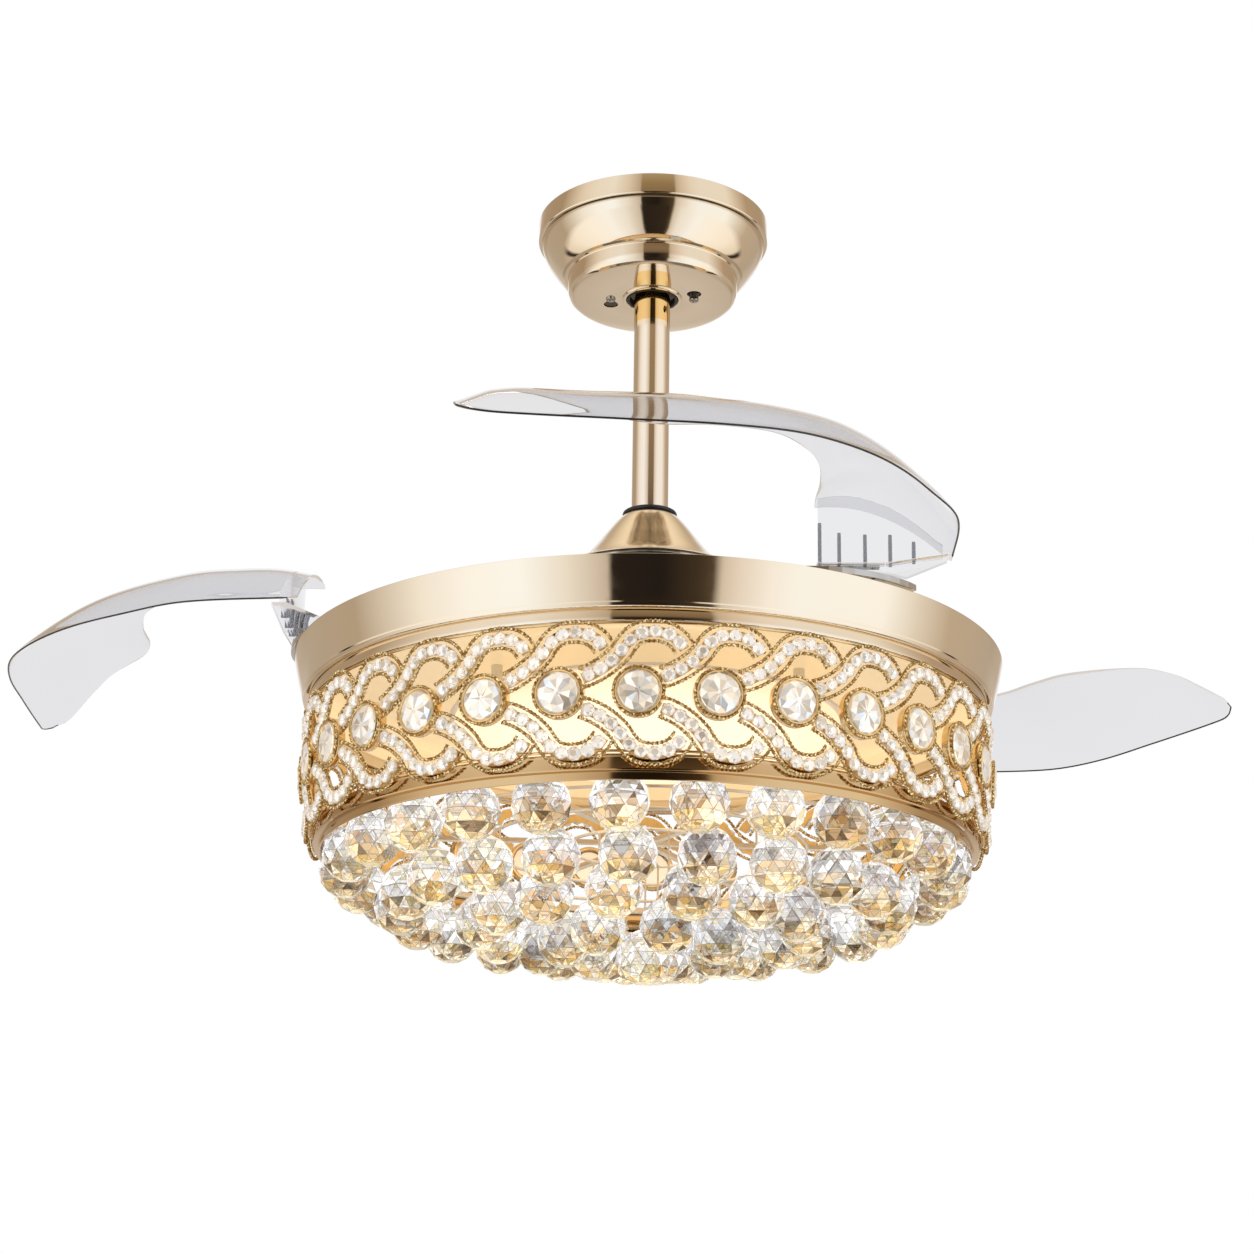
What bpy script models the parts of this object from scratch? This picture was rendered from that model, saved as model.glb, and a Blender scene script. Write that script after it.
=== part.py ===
"""Ceiling fan with a round light drum: three clear blades fold in over the drum's top, and a dome of glass balls hangs under it.

Sizes are in millimetres here and in metres in the scene. Heights are counted from the ceiling, downwards
being negative, and +Z is up. D(z) turns a height above the drum's rim into a height below the ceiling.
"""

import math

import bmesh
import bpy
from mathutils import Matrix, Vector

MM = 0.001
DROP = 353.0  # ceiling to the rim's top edge
GAP = 0.3  # clearance between neighbours


def D(z):
    return z - DROP


# ---------------------------------------------------------------- sizes
ROD_R, ROD_BORE = 13.35, 11.2  # 3/4 inch pipe
ROD_TOP, ROD_END = -12.0, D(84)
BALL_Z, BALL_R, BALL_BORE = -21.0, 22.0, 14.35
SEAT_Z, SEAT_T, SEAT_R = -36.0, 2.5, 16.5
SCREW_X = 31.0
PIN_R = 3.0
YOKE_PIN_Z = D(92)
SHAFT_R, SHAFT_BORE = 8.5, 5.5
STATOR_R = 62.0
MAGNET_R = (62.8, 68.0)
HOUSING_R = 72.0
FLANGE_R = 95.0
DISC_R, DISC_Z = 186.0, (-5.5, -2.0)
RIM_R, RIM_LOW_R, RIM_H = 250.0, 241.4, 31.5
BAND_TOP_R, BAND_LOW_R, BAND_T = 238.2, 234.0, 3.0
BAND_Z = (-40.3, -123.7)
BEZELS, BEZEL_R, BEZEL_Z = 30, 16.5, -86.5
BEZEL_A0 = -1.34  # degrees, the first bezel's place beside the front
PIVOT = (104.0, -130.0)  # the front blade's pivot
PIVOT_R = 5.0
BLADE_T = 3.0
BLADE_TURN = {1: 0.0, 2: 120.0, 3: -120.0}
BLADE_OPEN = {1: 0.0, 2: -2.9, 3: 26.9}
BALL_RADIUS = 19.5
RINGS = ((26, 207.0, -147.8, 9.2), (21, 168.0, -172.0, -3.8), (14, 112.0, -182.0, -10.5), (7, 55.0, -193.5, -35.0))
CENTRE_BALL_Z = -204.5
WIRE_Z, WIRE_R = -127.6, 1.2

# ---------------------------------------------------------------- scene
for old in list(bpy.data.objects):
    bpy.data.objects.remove(old, do_unlink=True)
SCENE = bpy.context.scene
SCENE.unit_settings.scale_length = 1.0
PART = bpy.data.collections.new("ceiling_fan")
CUTTERS = bpy.data.collections.new("cutters")
SCENE.collection.children.link(PART)
SCENE.collection.children.link(CUTTERS)

COLOURS = {
    "gold": ((0.83, 0.68, 0.5, 1), 1.0, 0.12),
    "steel": ((0.62, 0.62, 0.63, 1), 1.0, 0.35),
    "zinc": ((0.5, 0.5, 0.5, 1), 1.0, 0.5),
    "black": ((0.02, 0.02, 0.02, 1), 0.0, 0.7),
    "grey": ((0.12, 0.12, 0.13, 1), 0.0, 0.45),
    "clear": ((0.88, 0.89, 0.9, 0.35), 0.0, 0.03),
    "crystal": ((0.95, 0.93, 0.9, 0.35), 0.0, 0.0),
    "warm": ((1.0, 0.9, 0.7, 1), 0.0, 0.5),
    "white": ((0.85, 0.85, 0.83, 1), 0.0, 0.5),
    "magnet": ((0.2, 0.2, 0.22, 1), 1.0, 0.5),
}


def paint(obj, key):
    colour, metal, rough = COLOURS[key]
    mat = bpy.data.materials.new(obj.name)
    mat.use_nodes = True
    bsdf = mat.node_tree.nodes["Principled BSDF"]
    bsdf.inputs["Base Color"].default_value = colour
    bsdf.inputs["Metallic"].default_value = metal
    bsdf.inputs["Roughness"].default_value = rough
    mat.diffuse_color = colour
    obj.data.materials.clear()
    obj.data.materials.append(mat)


def link(name, mesh):
    obj = bpy.data.objects.new(name, mesh)
    PART.objects.link(obj)
    return obj


def clean(obj):
    """Merges doubled points and turns every face outwards."""
    bm = bmesh.new()
    bm.from_mesh(obj.data)
    bmesh.ops.remove_doubles(bm, verts=bm.verts, dist=2e-6)
    bmesh.ops.recalc_face_normals(bm, faces=bm.faces)
    if bm.calc_volume(signed=True) < 0:
        bmesh.ops.reverse_faces(bm, faces=bm.faces)
    bm.to_mesh(obj.data)
    bm.free()
    return obj


def bake(obj):
    """Keeps the shape that the modifiers make."""
    bpy.context.view_layer.update()
    mesh = bpy.data.meshes.new_from_object(obj.evaluated_get(bpy.context.evaluated_depsgraph_get()))
    mesh.transform(obj.matrix_world)
    obj.modifiers.clear()
    old = obj.data
    obj.data = mesh
    obj.matrix_world = Matrix.Identity(4)
    if old.users == 0:
        bpy.data.meshes.remove(old)
    return obj


def boolean(obj, tool, operation):
    mod = obj.modifiers.new(operation.lower(), "BOOLEAN")
    mod.operation, mod.solver, mod.object = operation, "EXACT", tool
    bake(obj)
    bpy.data.objects.remove(tool, do_unlink=True)
    return clean(obj)


def cut(obj, *tools):
    for tool in tools:
        boolean(obj, tool, "DIFFERENCE")
    return obj


def add(obj, *tools):
    for tool in tools:
        boolean(obj, tool, "UNION")
    return obj


def lathe(name, profile, steps=40, ring=False):
    """A body turned about Z. The profile is (radius, height) from the top down its outer side."""
    mesh = bpy.data.meshes.new(name)
    n = len(profile)
    edges = [(i, i + 1) for i in range(n - 1)] + ([(n - 1, 0)] if ring else [])
    mesh.from_pydata([(r * MM, 0, z * MM) for r, z in profile], edges, [])
    obj = link(name, mesh)
    mod = obj.modifiers.new("turn", "SCREW")
    mod.axis, mod.angle = "Z", 2 * math.pi
    mod.steps = mod.render_steps = steps
    mod.use_merge_vertices, mod.merge_threshold = True, 0.00001
    return clean(bake(obj))


def rod(name, r, z0, z1, x=0.0, y=0.0, sides=24, axis="Z"):
    bm = bmesh.new()
    bmesh.ops.create_cone(bm, cap_ends=True, segments=sides, radius1=r * MM, radius2=r * MM, depth=(z1 - z0) * MM)
    mid = (z0 + z1) / 2
    if axis == "X":
        bmesh.ops.rotate(bm, matrix=Matrix.Rotation(math.pi / 2, 3, "Y"), verts=bm.verts)
        bmesh.ops.translate(bm, vec=Vector((mid, x, y)) * MM, verts=bm.verts)
    elif axis == "Y":
        bmesh.ops.rotate(bm, matrix=Matrix.Rotation(math.pi / 2, 3, "X"), verts=bm.verts)
        bmesh.ops.translate(bm, vec=Vector((x, mid, y)) * MM, verts=bm.verts)
    else:
        bmesh.ops.translate(bm, vec=Vector((x, y, mid)) * MM, verts=bm.verts)
    mesh = bpy.data.meshes.new(name)
    bm.to_mesh(mesh)
    bm.free()
    return clean(link(name, mesh))


def block(name, x, y, z):
    bm = bmesh.new()
    bmesh.ops.create_cube(bm, size=1.0)
    bmesh.ops.scale(bm, vec=Vector((x[1] - x[0], y[1] - y[0], z[1] - z[0])) * MM, verts=bm.verts)
    bmesh.ops.translate(bm, vec=Vector(((x[0] + x[1]) / 2, (y[0] + y[1]) / 2, (z[0] + z[1]) / 2)) * MM, verts=bm.verts)
    mesh = bpy.data.meshes.new(name)
    bm.to_mesh(mesh)
    bm.free()
    return clean(link(name, mesh))


def prism(name, points, z0, z1):
    """A plate with a flat outline."""
    curve = bpy.data.curves.new(name + "_outline", "CURVE")
    curve.dimensions = "2D"
    curve.fill_mode = "BOTH"
    curve.extrude = (z1 - z0) / 2 * MM
    line = curve.splines.new("POLY")
    line.points.add(len(points) - 1)
    for knot, p in zip(line.points, points):
        knot.co = (p[0] * MM, p[1] * MM, 0, 1)
    line.use_cyclic_u = True
    helper = bpy.data.objects.new(name + "_outline", curve)
    CUTTERS.objects.link(helper)
    bpy.context.view_layer.update()
    mesh = bpy.data.meshes.new_from_object(helper.evaluated_get(bpy.context.evaluated_depsgraph_get()))
    bpy.data.objects.remove(helper, do_unlink=True)
    mesh.transform(Matrix.Translation((0, 0, (z0 + z1) / 2 * MM)))
    return clean(link(name, mesh))


def wire(name, points, r, closed=False, resolution=1):
    """A round bar bent along the points."""
    curve = bpy.data.curves.new(name + "_path", "CURVE")
    curve.dimensions = "3D"
    curve.bevel_depth, curve.bevel_resolution = r * MM, resolution
    curve.use_fill_caps = True
    line = curve.splines.new("POLY")
    line.points.add(len(points) - 1)
    for knot, p in zip(line.points, points):
        knot.co = (p[0] * MM, p[1] * MM, p[2] * MM, 1)
    line.use_cyclic_u = closed
    helper = bpy.data.objects.new(name + "_path", curve)
    CUTTERS.objects.link(helper)
    bpy.context.view_layer.update()
    mesh = bpy.data.meshes.new_from_object(helper.evaluated_get(bpy.context.evaluated_depsgraph_get()))
    bpy.data.objects.remove(helper, do_unlink=True)
    return clean(link(name, mesh))


def join(name, pieces):
    """Several bodies that don't touch, as one mesh for a Boolean."""
    bm = bmesh.new()
    for piece in pieces:
        bm.from_mesh(piece.data)
        bpy.data.objects.remove(piece, do_unlink=True)
    mesh = bpy.data.meshes.new(name)
    bm.to_mesh(mesh)
    bm.free()
    return link(name, mesh)


def move(obj, matrix):
    obj.data.transform(matrix)
    return obj


def about(point, degrees):
    p = Vector((point[0], point[1], 0)) * MM
    return Matrix.Translation(p) @ Matrix.Rotation(math.radians(degrees), 4, "Z") @ Matrix.Translation(-p)


def polar(r, degrees):
    a = math.radians(degrees)
    return r * math.cos(a), r * math.sin(a)


# ---------------------------------------------------------------- ceiling mount
def hanger_bracket():
    """A steel strap: the ceiling plate, two legs, the ball's seat and a foot for each canopy screw."""
    plate = block("hanger_bracket", (-55, 55), (-20, 20), (-2.5, 0))
    plate = add(plate, block("tongue", (-15, 15), (18, 60), (-2.5, 0)))
    for s in (-1, 1):
        leg = tuple(sorted((s * 26.0, s * 28.5)))
        plate = add(plate, block("leg", leg, (-16, 16), (-50, -1.5)))
        foot = tuple(sorted((s * 27.0, s * 38.0)))
        plate = add(plate, block("foot", foot, (-9, 9), (-50, -47.5)))
    plate = add(plate, block("seat", (-27, 27), (-20, 20), (SEAT_Z - SEAT_T, SEAT_Z)))
    cutters = [rod("c", SEAT_R, SEAT_Z - 10, SEAT_Z + 6, sides=32),
               block("c", (-14.2, 14.2), (0, 30), (SEAT_Z - 10, SEAT_Z + 6)),
               rod("c", 4.5, -10, 5, x=14, y=-11, sides=12), rod("c", 4.5, -10, 5, x=-14, y=-11, sides=12)]
    for s in (-1, 1):
        cutters.append(rod("c", 2.3, -60, -40, x=s * SCREW_X, sides=12))
        cutters.append(block("c", tuple(sorted((s * 36, s * 46))), (-2.6, 2.6), (-10, 5)))
    return cut(plate, *cutters)


def hanger_ball():
    """The split ball that the rod hangs from, with a hole for its cross pin."""
    top = -9.0
    profile = [(BALL_BORE, top)]
    start = math.asin((top - BALL_Z) / BALL_R)
    end = -math.acos(BALL_BORE / BALL_R)
    for i in range(7):
        a = start + (end - start) * i / 6
        profile.append((BALL_R * math.cos(a), BALL_Z + BALL_R * math.sin(a)))
    body = lathe("hanger_ball", profile, 20, ring=True)
    return cut(body, rod("c", PIN_R + GAP, -40, 40, x=0, y=BALL_Z, sides=12, axis="X"))


def downrod():
    body = lathe("downrod", [(ROD_R, ROD_TOP), (ROD_R, ROD_END), (ROD_BORE, ROD_END), (ROD_BORE, ROD_TOP)], 24, ring=True)
    return cut(body, rod("c", PIN_R + GAP, -40, 40, x=0, y=BALL_Z, sides=12, axis="X"),
               rod("c", PIN_R + GAP, -40, 40, x=0, y=YOKE_PIN_Z, sides=12, axis="X"))


def motor_lead():
    """The cable: down the rod beside the pins, through the hollow shaft and across to the lamp driver."""
    path = [(0, 6.6, -13.5), (0, 6.6, D(87)), (0, 5.2, D(83.5)), (0, 1.6, D(79.5)), (0, 0, D(76)), (0, 0, D(-23)),
            (0, 2.5, D(-26.6)), (0, 8, D(-28.6)), (0, 37.2, D(-28.6))]
    return wire("motor_lead", path, 2.5, resolution=1)


def canopy():
    """The stepped bowl that covers the bracket, with a key slot for each screw."""
    outer = [(85.8, -0.4), (85.8, -16.4), (83.2, -17.6), (79.5, -26), (68.5, -45.7), (63, -46.4), (62.6, -52), (58, -57.4), (50, -58.5),
             (21, -58.5)]
    inner = [(21, -57.3), (50, -57.3), (57.2, -56.2), (61.4, -51.4), (61.8, -45.2), (67.7, -44.4), (78.3, -25.6), (84.5, -14.5), (84.5, -0.4)]
    body = lathe("canopy", outer + inner, 40, ring=True)
    slots = []
    for s in (-1, 1):
        slots.append(rod("c", 2.4, -70, -50, x=s * SCREW_X, sides=8))
        slots.append(block("c", (s * SCREW_X - 1.9, s * SCREW_X + 1.9), tuple(sorted((0, -s * 9))), (-70, -50)))
        slots.append(rod("c", 4.4, -70, -50, x=s * SCREW_X, y=-s * 9.5, sides=8))
    return cut(body, *slots)


def canopy_screw(name, x):
    head, shank = 4.0, 1.9
    body = lathe(name, [(0, -46), (shank, -46.0), (shank, -58.9), (head, -58.9), (head, -60.3), (2.8, -61.6), (0, -61.6)], 12)
    for turn in (0, 90):
        body = cut(body, move(block("c", (-2.2, 2.2), (-0.4, 0.4), (-70, -60.4)), Matrix.Rotation(math.radians(turn), 4, "Z")))
    return move(body, Matrix.Translation((x * MM, 0, 0)))


# ---------------------------------------------------------------- rod end and shaft
def coupling_cover():
    outer = [(18.2, D(118.7)), (19.8, D(118.4)), (25.6, D(112.2)), (42.2, D(90.2)), (60, D(78)), (72, D(72))]
    inner = [(70.4, D(72)), (59.2, D(76.8)), (41.2, D(89)), (24.8, D(110.8)), (19.0, D(116.6)), (18.2, D(116.6))]
    return lathe("coupling_cover", outer + inner, 30, ring=True)


def yoke():
    body = lathe("yoke", [(20, D(102)), (20, D(78)), (32, D(78)), (32, D(72)), (8.8, D(72)), (8.8, D(79)), (13.75, D(79)), (13.75, D(102))], 20, ring=True)
    return cut(body, rod("c", PIN_R + GAP, -50, 50, x=0, y=YOKE_PIN_Z, sides=12, axis="X"),
               rod("c", 2.4, 5, 40, x=0, y=D(98), sides=8, axis="Y"))


def stator():
    """Laminated core with twelve poles, wound with wire in the finished view."""
    outline = []
    for k in range(12):
        for r, a in ((20.0, -14.6), (54.0, -5.3), (54.0, -12.0), (STATOR_R, -11.5), (STATOR_R, 0.0), (STATOR_R, 11.5), (54.0, 12.0), (54.0, 5.3)):
            outline.append(polar(r, 30 * k + a))
    body = prism("stator", outline, D(24), D(44))
    return cut(body, rod("c", 8.8, D(10), D(60), sides=24))


# ---------------------------------------------------------------- blades
OUTER_EDGE = ((0.0, 194, -198, 16), (0.17, 189, -276, 15), (0.288, 167, -325, 14), (0.392, 143, -366, 13), (0.485, 116, -399, 11),
              (0.571, 84, -424, 9), (0.666, 42, -437, 8), (0.789, -13, -443, 8), (0.932, -78, -446, 8.5), (1.0, -107, -446, 13))
INNER_EDGE = ((0.0, 106.5, -195, 53), (0.06, 106.5, -212, 53), (0.13, 107, -243, 50), (0.22, 105, -270, 51), (0.335, 95, -301, 50), (0.45, 74, -329, 49),
              (0.575, 37, -342, 48), (0.695, 2, -345, 47), (0.805, -31, -358, 48), (0.895, -71, -392, 46), (0.94, -89, -411, 39),
              (0.965, -96, -424, 30), (1.0, -104, -441, 17))
CAMBER = ((0.0, 12.0), (0.1, 18.5), (0.25, 18.0), (0.5, 15.0), (0.62, 15.5), (0.7, 17.0), (0.8, 14.0), (0.9, 6.0), (1.0, 0.5))


def along(table, v):
    """A smooth curve through the table's rows, each row starting with its own place along the curve."""
    n = len(table)
    i = max(0, min(n - 2, sum(1 for row in table if row[0] <= v) - 1))
    t0, t1 = table[i][0], table[i + 1][0]
    s = (v - t0) / (t1 - t0)
    out = []
    for k in range(1, len(table[0])):
        p0, p1 = table[i][k], table[i + 1][k]
        if i > 0:
            m0 = (table[i + 1][k] - table[i - 1][k]) / (table[i + 1][0] - table[i - 1][0])
        else:
            m0 = (p1 - p0) / (t1 - t0)
        if i < n - 2:
            m1 = (table[i + 2][k] - table[i][k]) / (table[i + 2][0] - table[i][0])
        else:
            m1 = (p1 - p0) / (t1 - t0)
        m0, m1 = m0 * (t1 - t0), m1 * (t1 - t0)
        out.append((2 * s ** 3 - 3 * s ** 2 + 1) * p0 + (s ** 3 - 2 * s ** 2 + s) * m0 + (3 * s ** 2 - 2 * s ** 3) * p1 + (s ** 3 - s ** 2) * m1)
    return out


def blade_point(v, t):
    a, b = Vector(along(OUTER_EDGE, v)), Vector(along(INNER_EDGE, v))
    p = a.lerp(b, t)
    p.z += along(CAMBER, v)[0] * 4 * t * (1 - t)
    return p


def blade_sheet(name, spans=16, chords=4):
    """The curved sheet, lofted between its outer and inner edges."""
    def normal(v, t):
        e = 0.01
        du = blade_point(min(v + e, 1), t) - blade_point(max(v - e, 0), t)
        dt = blade_point(v, min(t + e, 1)) - blade_point(v, max(t - e, 0))
        n = du.cross(dt).normalized()
        return n if n.z > 0 else -n

    vs = [0.5 - 0.5 * math.cos(math.pi * (0.12 + 0.88 * i / spans)) for i in range(spans + 1)]
    low = vs[0]
    vs = [(v - low) / (vs[-1] - low) for v in vs]
    top, bottom = [], []
    for v in vs:
        rows = ([], [])
        for j in range(chords + 1):
            t = j / chords
            p, n = blade_point(v, t), normal(v, t)
            rows[0].append(p + n * (BLADE_T / 2))
            rows[1].append(p - n * (BLADE_T / 2))
        top.append(rows[0])
        bottom.append(rows[1])
    bm = bmesh.new()
    up = [[bm.verts.new((p.x * MM, p.y * MM, D(p.z) * MM)) for p in row] for row in top]
    dn = [[bm.verts.new((p.x * MM, p.y * MM, D(p.z) * MM)) for p in row] for row in bottom]
    for i in range(spans):
        for j in range(chords):
            bm.faces.new((up[i][j], up[i + 1][j], up[i + 1][j + 1], up[i][j + 1]))
            bm.faces.new((dn[i][j], dn[i][j + 1], dn[i + 1][j + 1], dn[i + 1][j]))
        bm.faces.new((up[i][0], dn[i][0], dn[i + 1][0], up[i + 1][0]))
        bm.faces.new((up[i][chords], up[i + 1][chords], dn[i + 1][chords], dn[i][chords]))
    for j in range(chords):
        bm.faces.new((up[0][j], up[0][j + 1], dn[0][j + 1], dn[0][j]))
        bm.faces.new((up[spans][j], dn[spans][j], dn[spans][j + 1], up[spans][j + 1]))
    mesh = bpy.data.meshes.new(name)
    bm.to_mesh(mesh)
    bm.free()
    return clean(link(name, mesh))


ROOT_RIBS = ((108.6, 36.0), (121.0, 29.5), (137.5, 28.5), (153.5, 28.5), (168.5, 24.0))  # each rib's place and its top
WALL_X = (107.6, 187.0)
FLANGE_Z = (5.3, 8.3)
FLANGE_BEND_X, FLANGE_RISE = 150.0, 0.15  # the flange slopes up to the sheet beyond the clamp


def root_wall(y0, y1, steps=8):
    """The upright wall between the flange and the sheet, its top edge inside the sheet."""
    xs = [WALL_X[0] + (WALL_X[1] - WALL_X[0]) * i / steps for i in range(steps + 1)]

    def under(x):
        near = min(((abs(p.x - x) + 2 * abs(p.y - y0), p.z) for p in (blade_point(v / 200, t / 40) for v in range(0, 24) for t in range(41))), key=lambda q: q[0])
        return near[1]

    outline = [(x, under(x)) for x in xs] + [(xs[-1], FLANGE_Z[1] - 0.8), (xs[0], FLANGE_Z[1] - 0.8)]
    wall = prism("wall", outline, 0, y1 - y0)
    return move(wall, Matrix.Translation((0, y1 * MM, D(0) * MM)) @ Matrix.Rotation(math.pi / 2, 4, "X"))


def blade(name):
    """The sheet with its root flange, the wall between them and the wall's ribs."""
    body = blade_sheet(name)
    flat = [(106.5, -201), (151, -201), (151, -215), (106.5, -214)]
    body = add(body, prism("flange", flat, D(FLANGE_Z[0]), D(FLANGE_Z[1])))
    foot = prism("foot", [(150, -201.2), (166, -184), (190, -206), (190, -216), (150, -214.8)], D(FLANGE_Z[0]), D(FLANGE_Z[1]))
    bm = bmesh.new()
    bm.from_mesh(foot.data)
    bmesh.ops.triangulate(bm, faces=bm.faces)
    for v in bm.verts:
        v.co.z += max(0.0, v.co.x / MM - FLANGE_BEND_X) * FLANGE_RISE * MM
    bm.to_mesh(foot.data)
    bm.free()
    body = add(body, clean(foot))
    body = add(body, root_wall(-211.0, -208.6))
    for x, top in ROOT_RIBS:
        web = prism("web", [(x - 1.1, -213), (x + 1.1, -213), (x + 1.1, -206.8), (x - 1.1, -206.8)], D(FLANGE_Z[1] - 0.8), D(top))
        body = add(body, web)
    return body


HOLDER_R, HOLDER_Z = 86.0, (1.0, 5.0)
SCREWS_X, SCREWS_Y = (114.0, 129.0, 143.0), -203.8


def blade_holder(name):
    """The dark sector plate between the pivot and the blade's root, with the pivot's sleeve."""
    x, y = PIVOT
    sector = [(x - 16, y + 3)] + [(x + HOLDER_R * math.cos(a), y + HOLDER_R * math.sin(a)) for a in (
        math.radians(-95 + 58 * i / 10) for i in range(11))] + [(x + 16, y + 3)]
    plate = prism(name, sector, D(HOLDER_Z[0]), D(HOLDER_Z[1]))
    plate = add(plate, rod("hub", 17.3, D(HOLDER_Z[0]), D(HOLDER_Z[1]), x, y, 20), rod("sleeve", 10, D(2), D(17), x, y, 16))
    holes = [rod("c", PIVOT_R + GAP, D(-10), D(50), x, y, 16)]
    for sx in SCREWS_X:
        holes.append(rod("c", 1.7, D(-10), D(30), sx, SCREWS_Y, 6))
    return cut(plate, *holes)


def clamp_plate(name):
    """The strip on the root flange that the screws pull down."""
    body = block(name, (110.2, 147), (-206.2, -201.4), (D(FLANGE_Z[1] + GAP), D(FLANGE_Z[1] + 2.3)))
    return cut(body, *[rod("c", 1.7, D(-10), D(30), sx, SCREWS_Y, 6) for sx in SCREWS_X])


def pivot_shaft(name):
    x, y = PIVOT
    return add(rod(name, PIVOT_R, D(-1.0), D(18), x, y, 16), rod("base", 9.5, D(-1.7), D(0.7), x, y, 16))


def pivot_cap(name):
    x, y = PIVOT
    return rod(name, 14.5, D(18.3), D(21.3), x, y, 24)


def return_spring(name):
    """Three turns of square wire round the sleeve, the last end standing up to the cap."""
    x, y = PIVOT
    turns, steps = 3.0, 10
    path = []
    for i in range(int(turns * steps) + 1):
        a = 2 * math.pi * i / steps
        path.append((x + 12.6 * math.cos(a), y + 12.6 * math.sin(a), D(6.4 + 2.5 * i / steps)))
    path.append((path[-1][0], path[-1][1], D(17.8)))
    return wire(name, path, 0.9, resolution=0)


# ---------------------------------------------------------------- light drum
def filigree_band():
    """The pierced band. Each stone has a round seat, with three openings beside it."""
    body = lathe("filigree_band", [(BAND_TOP_R, D(BAND_Z[0])), (BAND_LOW_R, D(BAND_Z[1])), (BAND_LOW_R - BAND_T, D(BAND_Z[1])),
                                   (BAND_TOP_R - BAND_T, D(BAND_Z[0]))], BEZELS, ring=True)
    move(body, Matrix.Rotation(math.radians(-90 + BEZEL_A0 + 180 / BEZELS), 4, "Z"))
    lens = [(0, 17), (6.5, 0), (0, -17), (-6.5, 0)]
    seats, tools = [], []
    for k in range(BEZELS):
        a = -90 + BEZEL_A0 + 360 * k / BEZELS
        seat = rod("seat", BEZEL_R, 233, 243, x=0, y=0, sides=8, axis="X")
        move(seat, Matrix.Rotation(math.radians(22.5), 4, "X"))
        move(seat, Matrix.Translation((0, 0, D(BEZEL_Z) * MM)))
        seats.append(move(seat, Matrix.Rotation(math.radians(a), 4, "Z")))
        between = prism("hole", lens, 220, 250)
        turn = Matrix.Rotation(math.radians(a + 180 / BEZELS), 4, "Z")
        stand = Matrix(((0, 0, 1, 0), (1, 0, 0, 0), (0, 1, 0, D(BEZEL_Z) * MM), (0, 0, 0, 1)))
        tools.append(move(between, turn @ stand))
        for s in (-1, 1):
            arch = prism("hole", [(-14, s * 35.5), (14, s * 35.5), (0, s * 20.5)], 220, 250)
            tools.append(move(arch, Matrix.Rotation(math.radians(a), 4, "Z") @ stand))
    body = add(body, join("seats", seats))
    for tool in tools:
        clean(tool)
    return cut(body, join("openings", tools))


def crystal_frame():
    """Hoop with three crossing bars, which the rings of balls hang under."""
    body = lathe("crystal_frame", [(222.4, D(-121.4)), (222.4, D(-126)), (219.4, D(-126)), (219.4, D(-121.4))], 40, ring=True)
    bars = None
    for k in range(3):
        bar = move(block("bar", (-221, 221), (-2.5, 2.5), (D(-125.6), D(-122.6))), Matrix.Rotation(math.radians(60 * k + 3), 4, "Z"))
        bars = bar if bars is None else add(bars, bar)
    return add(body, bars)


def crystal_ring(name, count, r, z, start, centre=None):
    """One wire ring with its balls, each ball on its own pin."""
    steps = count if count > 12 else 2 * count
    reach = r / math.cos(math.pi / steps)  # the wire's straight lengths pass over the balls
    body = lathe(name, [(reach + WIRE_R, D(WIRE_Z + WIRE_R)), (reach + WIRE_R, D(WIRE_Z - WIRE_R)), (reach - WIRE_R, D(WIRE_Z - WIRE_R)),
                        (reach - WIRE_R, D(WIRE_Z + WIRE_R))], steps, ring=True)
    move(body, Matrix.Rotation(math.radians(-90 + start + 180 / steps), 4, "Z"))
    pins, balls = [], []
    spots = [(*polar(r, -90 + start + 360 * k / count), z) for k in range(count)]
    if centre is not None:
        spots.append((0.0, 0.0, centre))
        bar = block("cross", (-r, r), (-1.3, 1.3), (D(WIRE_Z - 0.9), D(WIRE_Z + 0.9)))
        body = add(body, move(bar, Matrix.Rotation(math.radians(-90 + start + 180 / count), 4, "Z")))
    for x, y, bz in spots:
        turn = Matrix.Rotation(math.atan2(y, x), 4, "Z")
        pins.append(rod("pin", 1.0, D(bz + BALL_RADIUS - 5), D(WIRE_Z - 0.4), x, y, 3))
        bm = bmesh.new()
        bmesh.ops.create_uvsphere(bm, u_segments=8, v_segments=4, radius=BALL_RADIUS * MM)
        bmesh.ops.rotate(bm, matrix=Matrix.Rotation(math.pi / 8, 3, "Z"), verts=bm.verts)  # a flat facet where the pin goes in
        bmesh.ops.rotate(bm, matrix=Matrix.Rotation(math.pi / 2, 3, "X"), verts=bm.verts)
        bmesh.ops.rotate(bm, matrix=turn.to_3x3(), verts=bm.verts)
        bmesh.ops.translate(bm, vec=Vector((x, y, D(bz))) * MM, verts=bm.verts)
        mesh = bpy.data.meshes.new("ball")
        bm.to_mesh(mesh)
        bm.free()
        balls.append(clean(link("ball", mesh)))
    body = add(body, join("pins", pins))
    return add(body, join("balls", balls))


# ---------------------------------------------------------------- build
MADE = {}


def keep(obj, colour, origin=None):
    MADE[obj.name] = obj
    bpy.context.view_layer.update()
    if origin is not None:
        p = Vector(origin) * MM
        obj.data.transform(Matrix.Translation(-p))
        obj.location = p
    paint(obj, colour)
    for face in obj.data.polygons:
        face.use_smooth = True
    obj.data.set_sharp_from_angle(angle=math.radians(35))
    return obj


SWING = (0, 0, BALL_Z)

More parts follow.
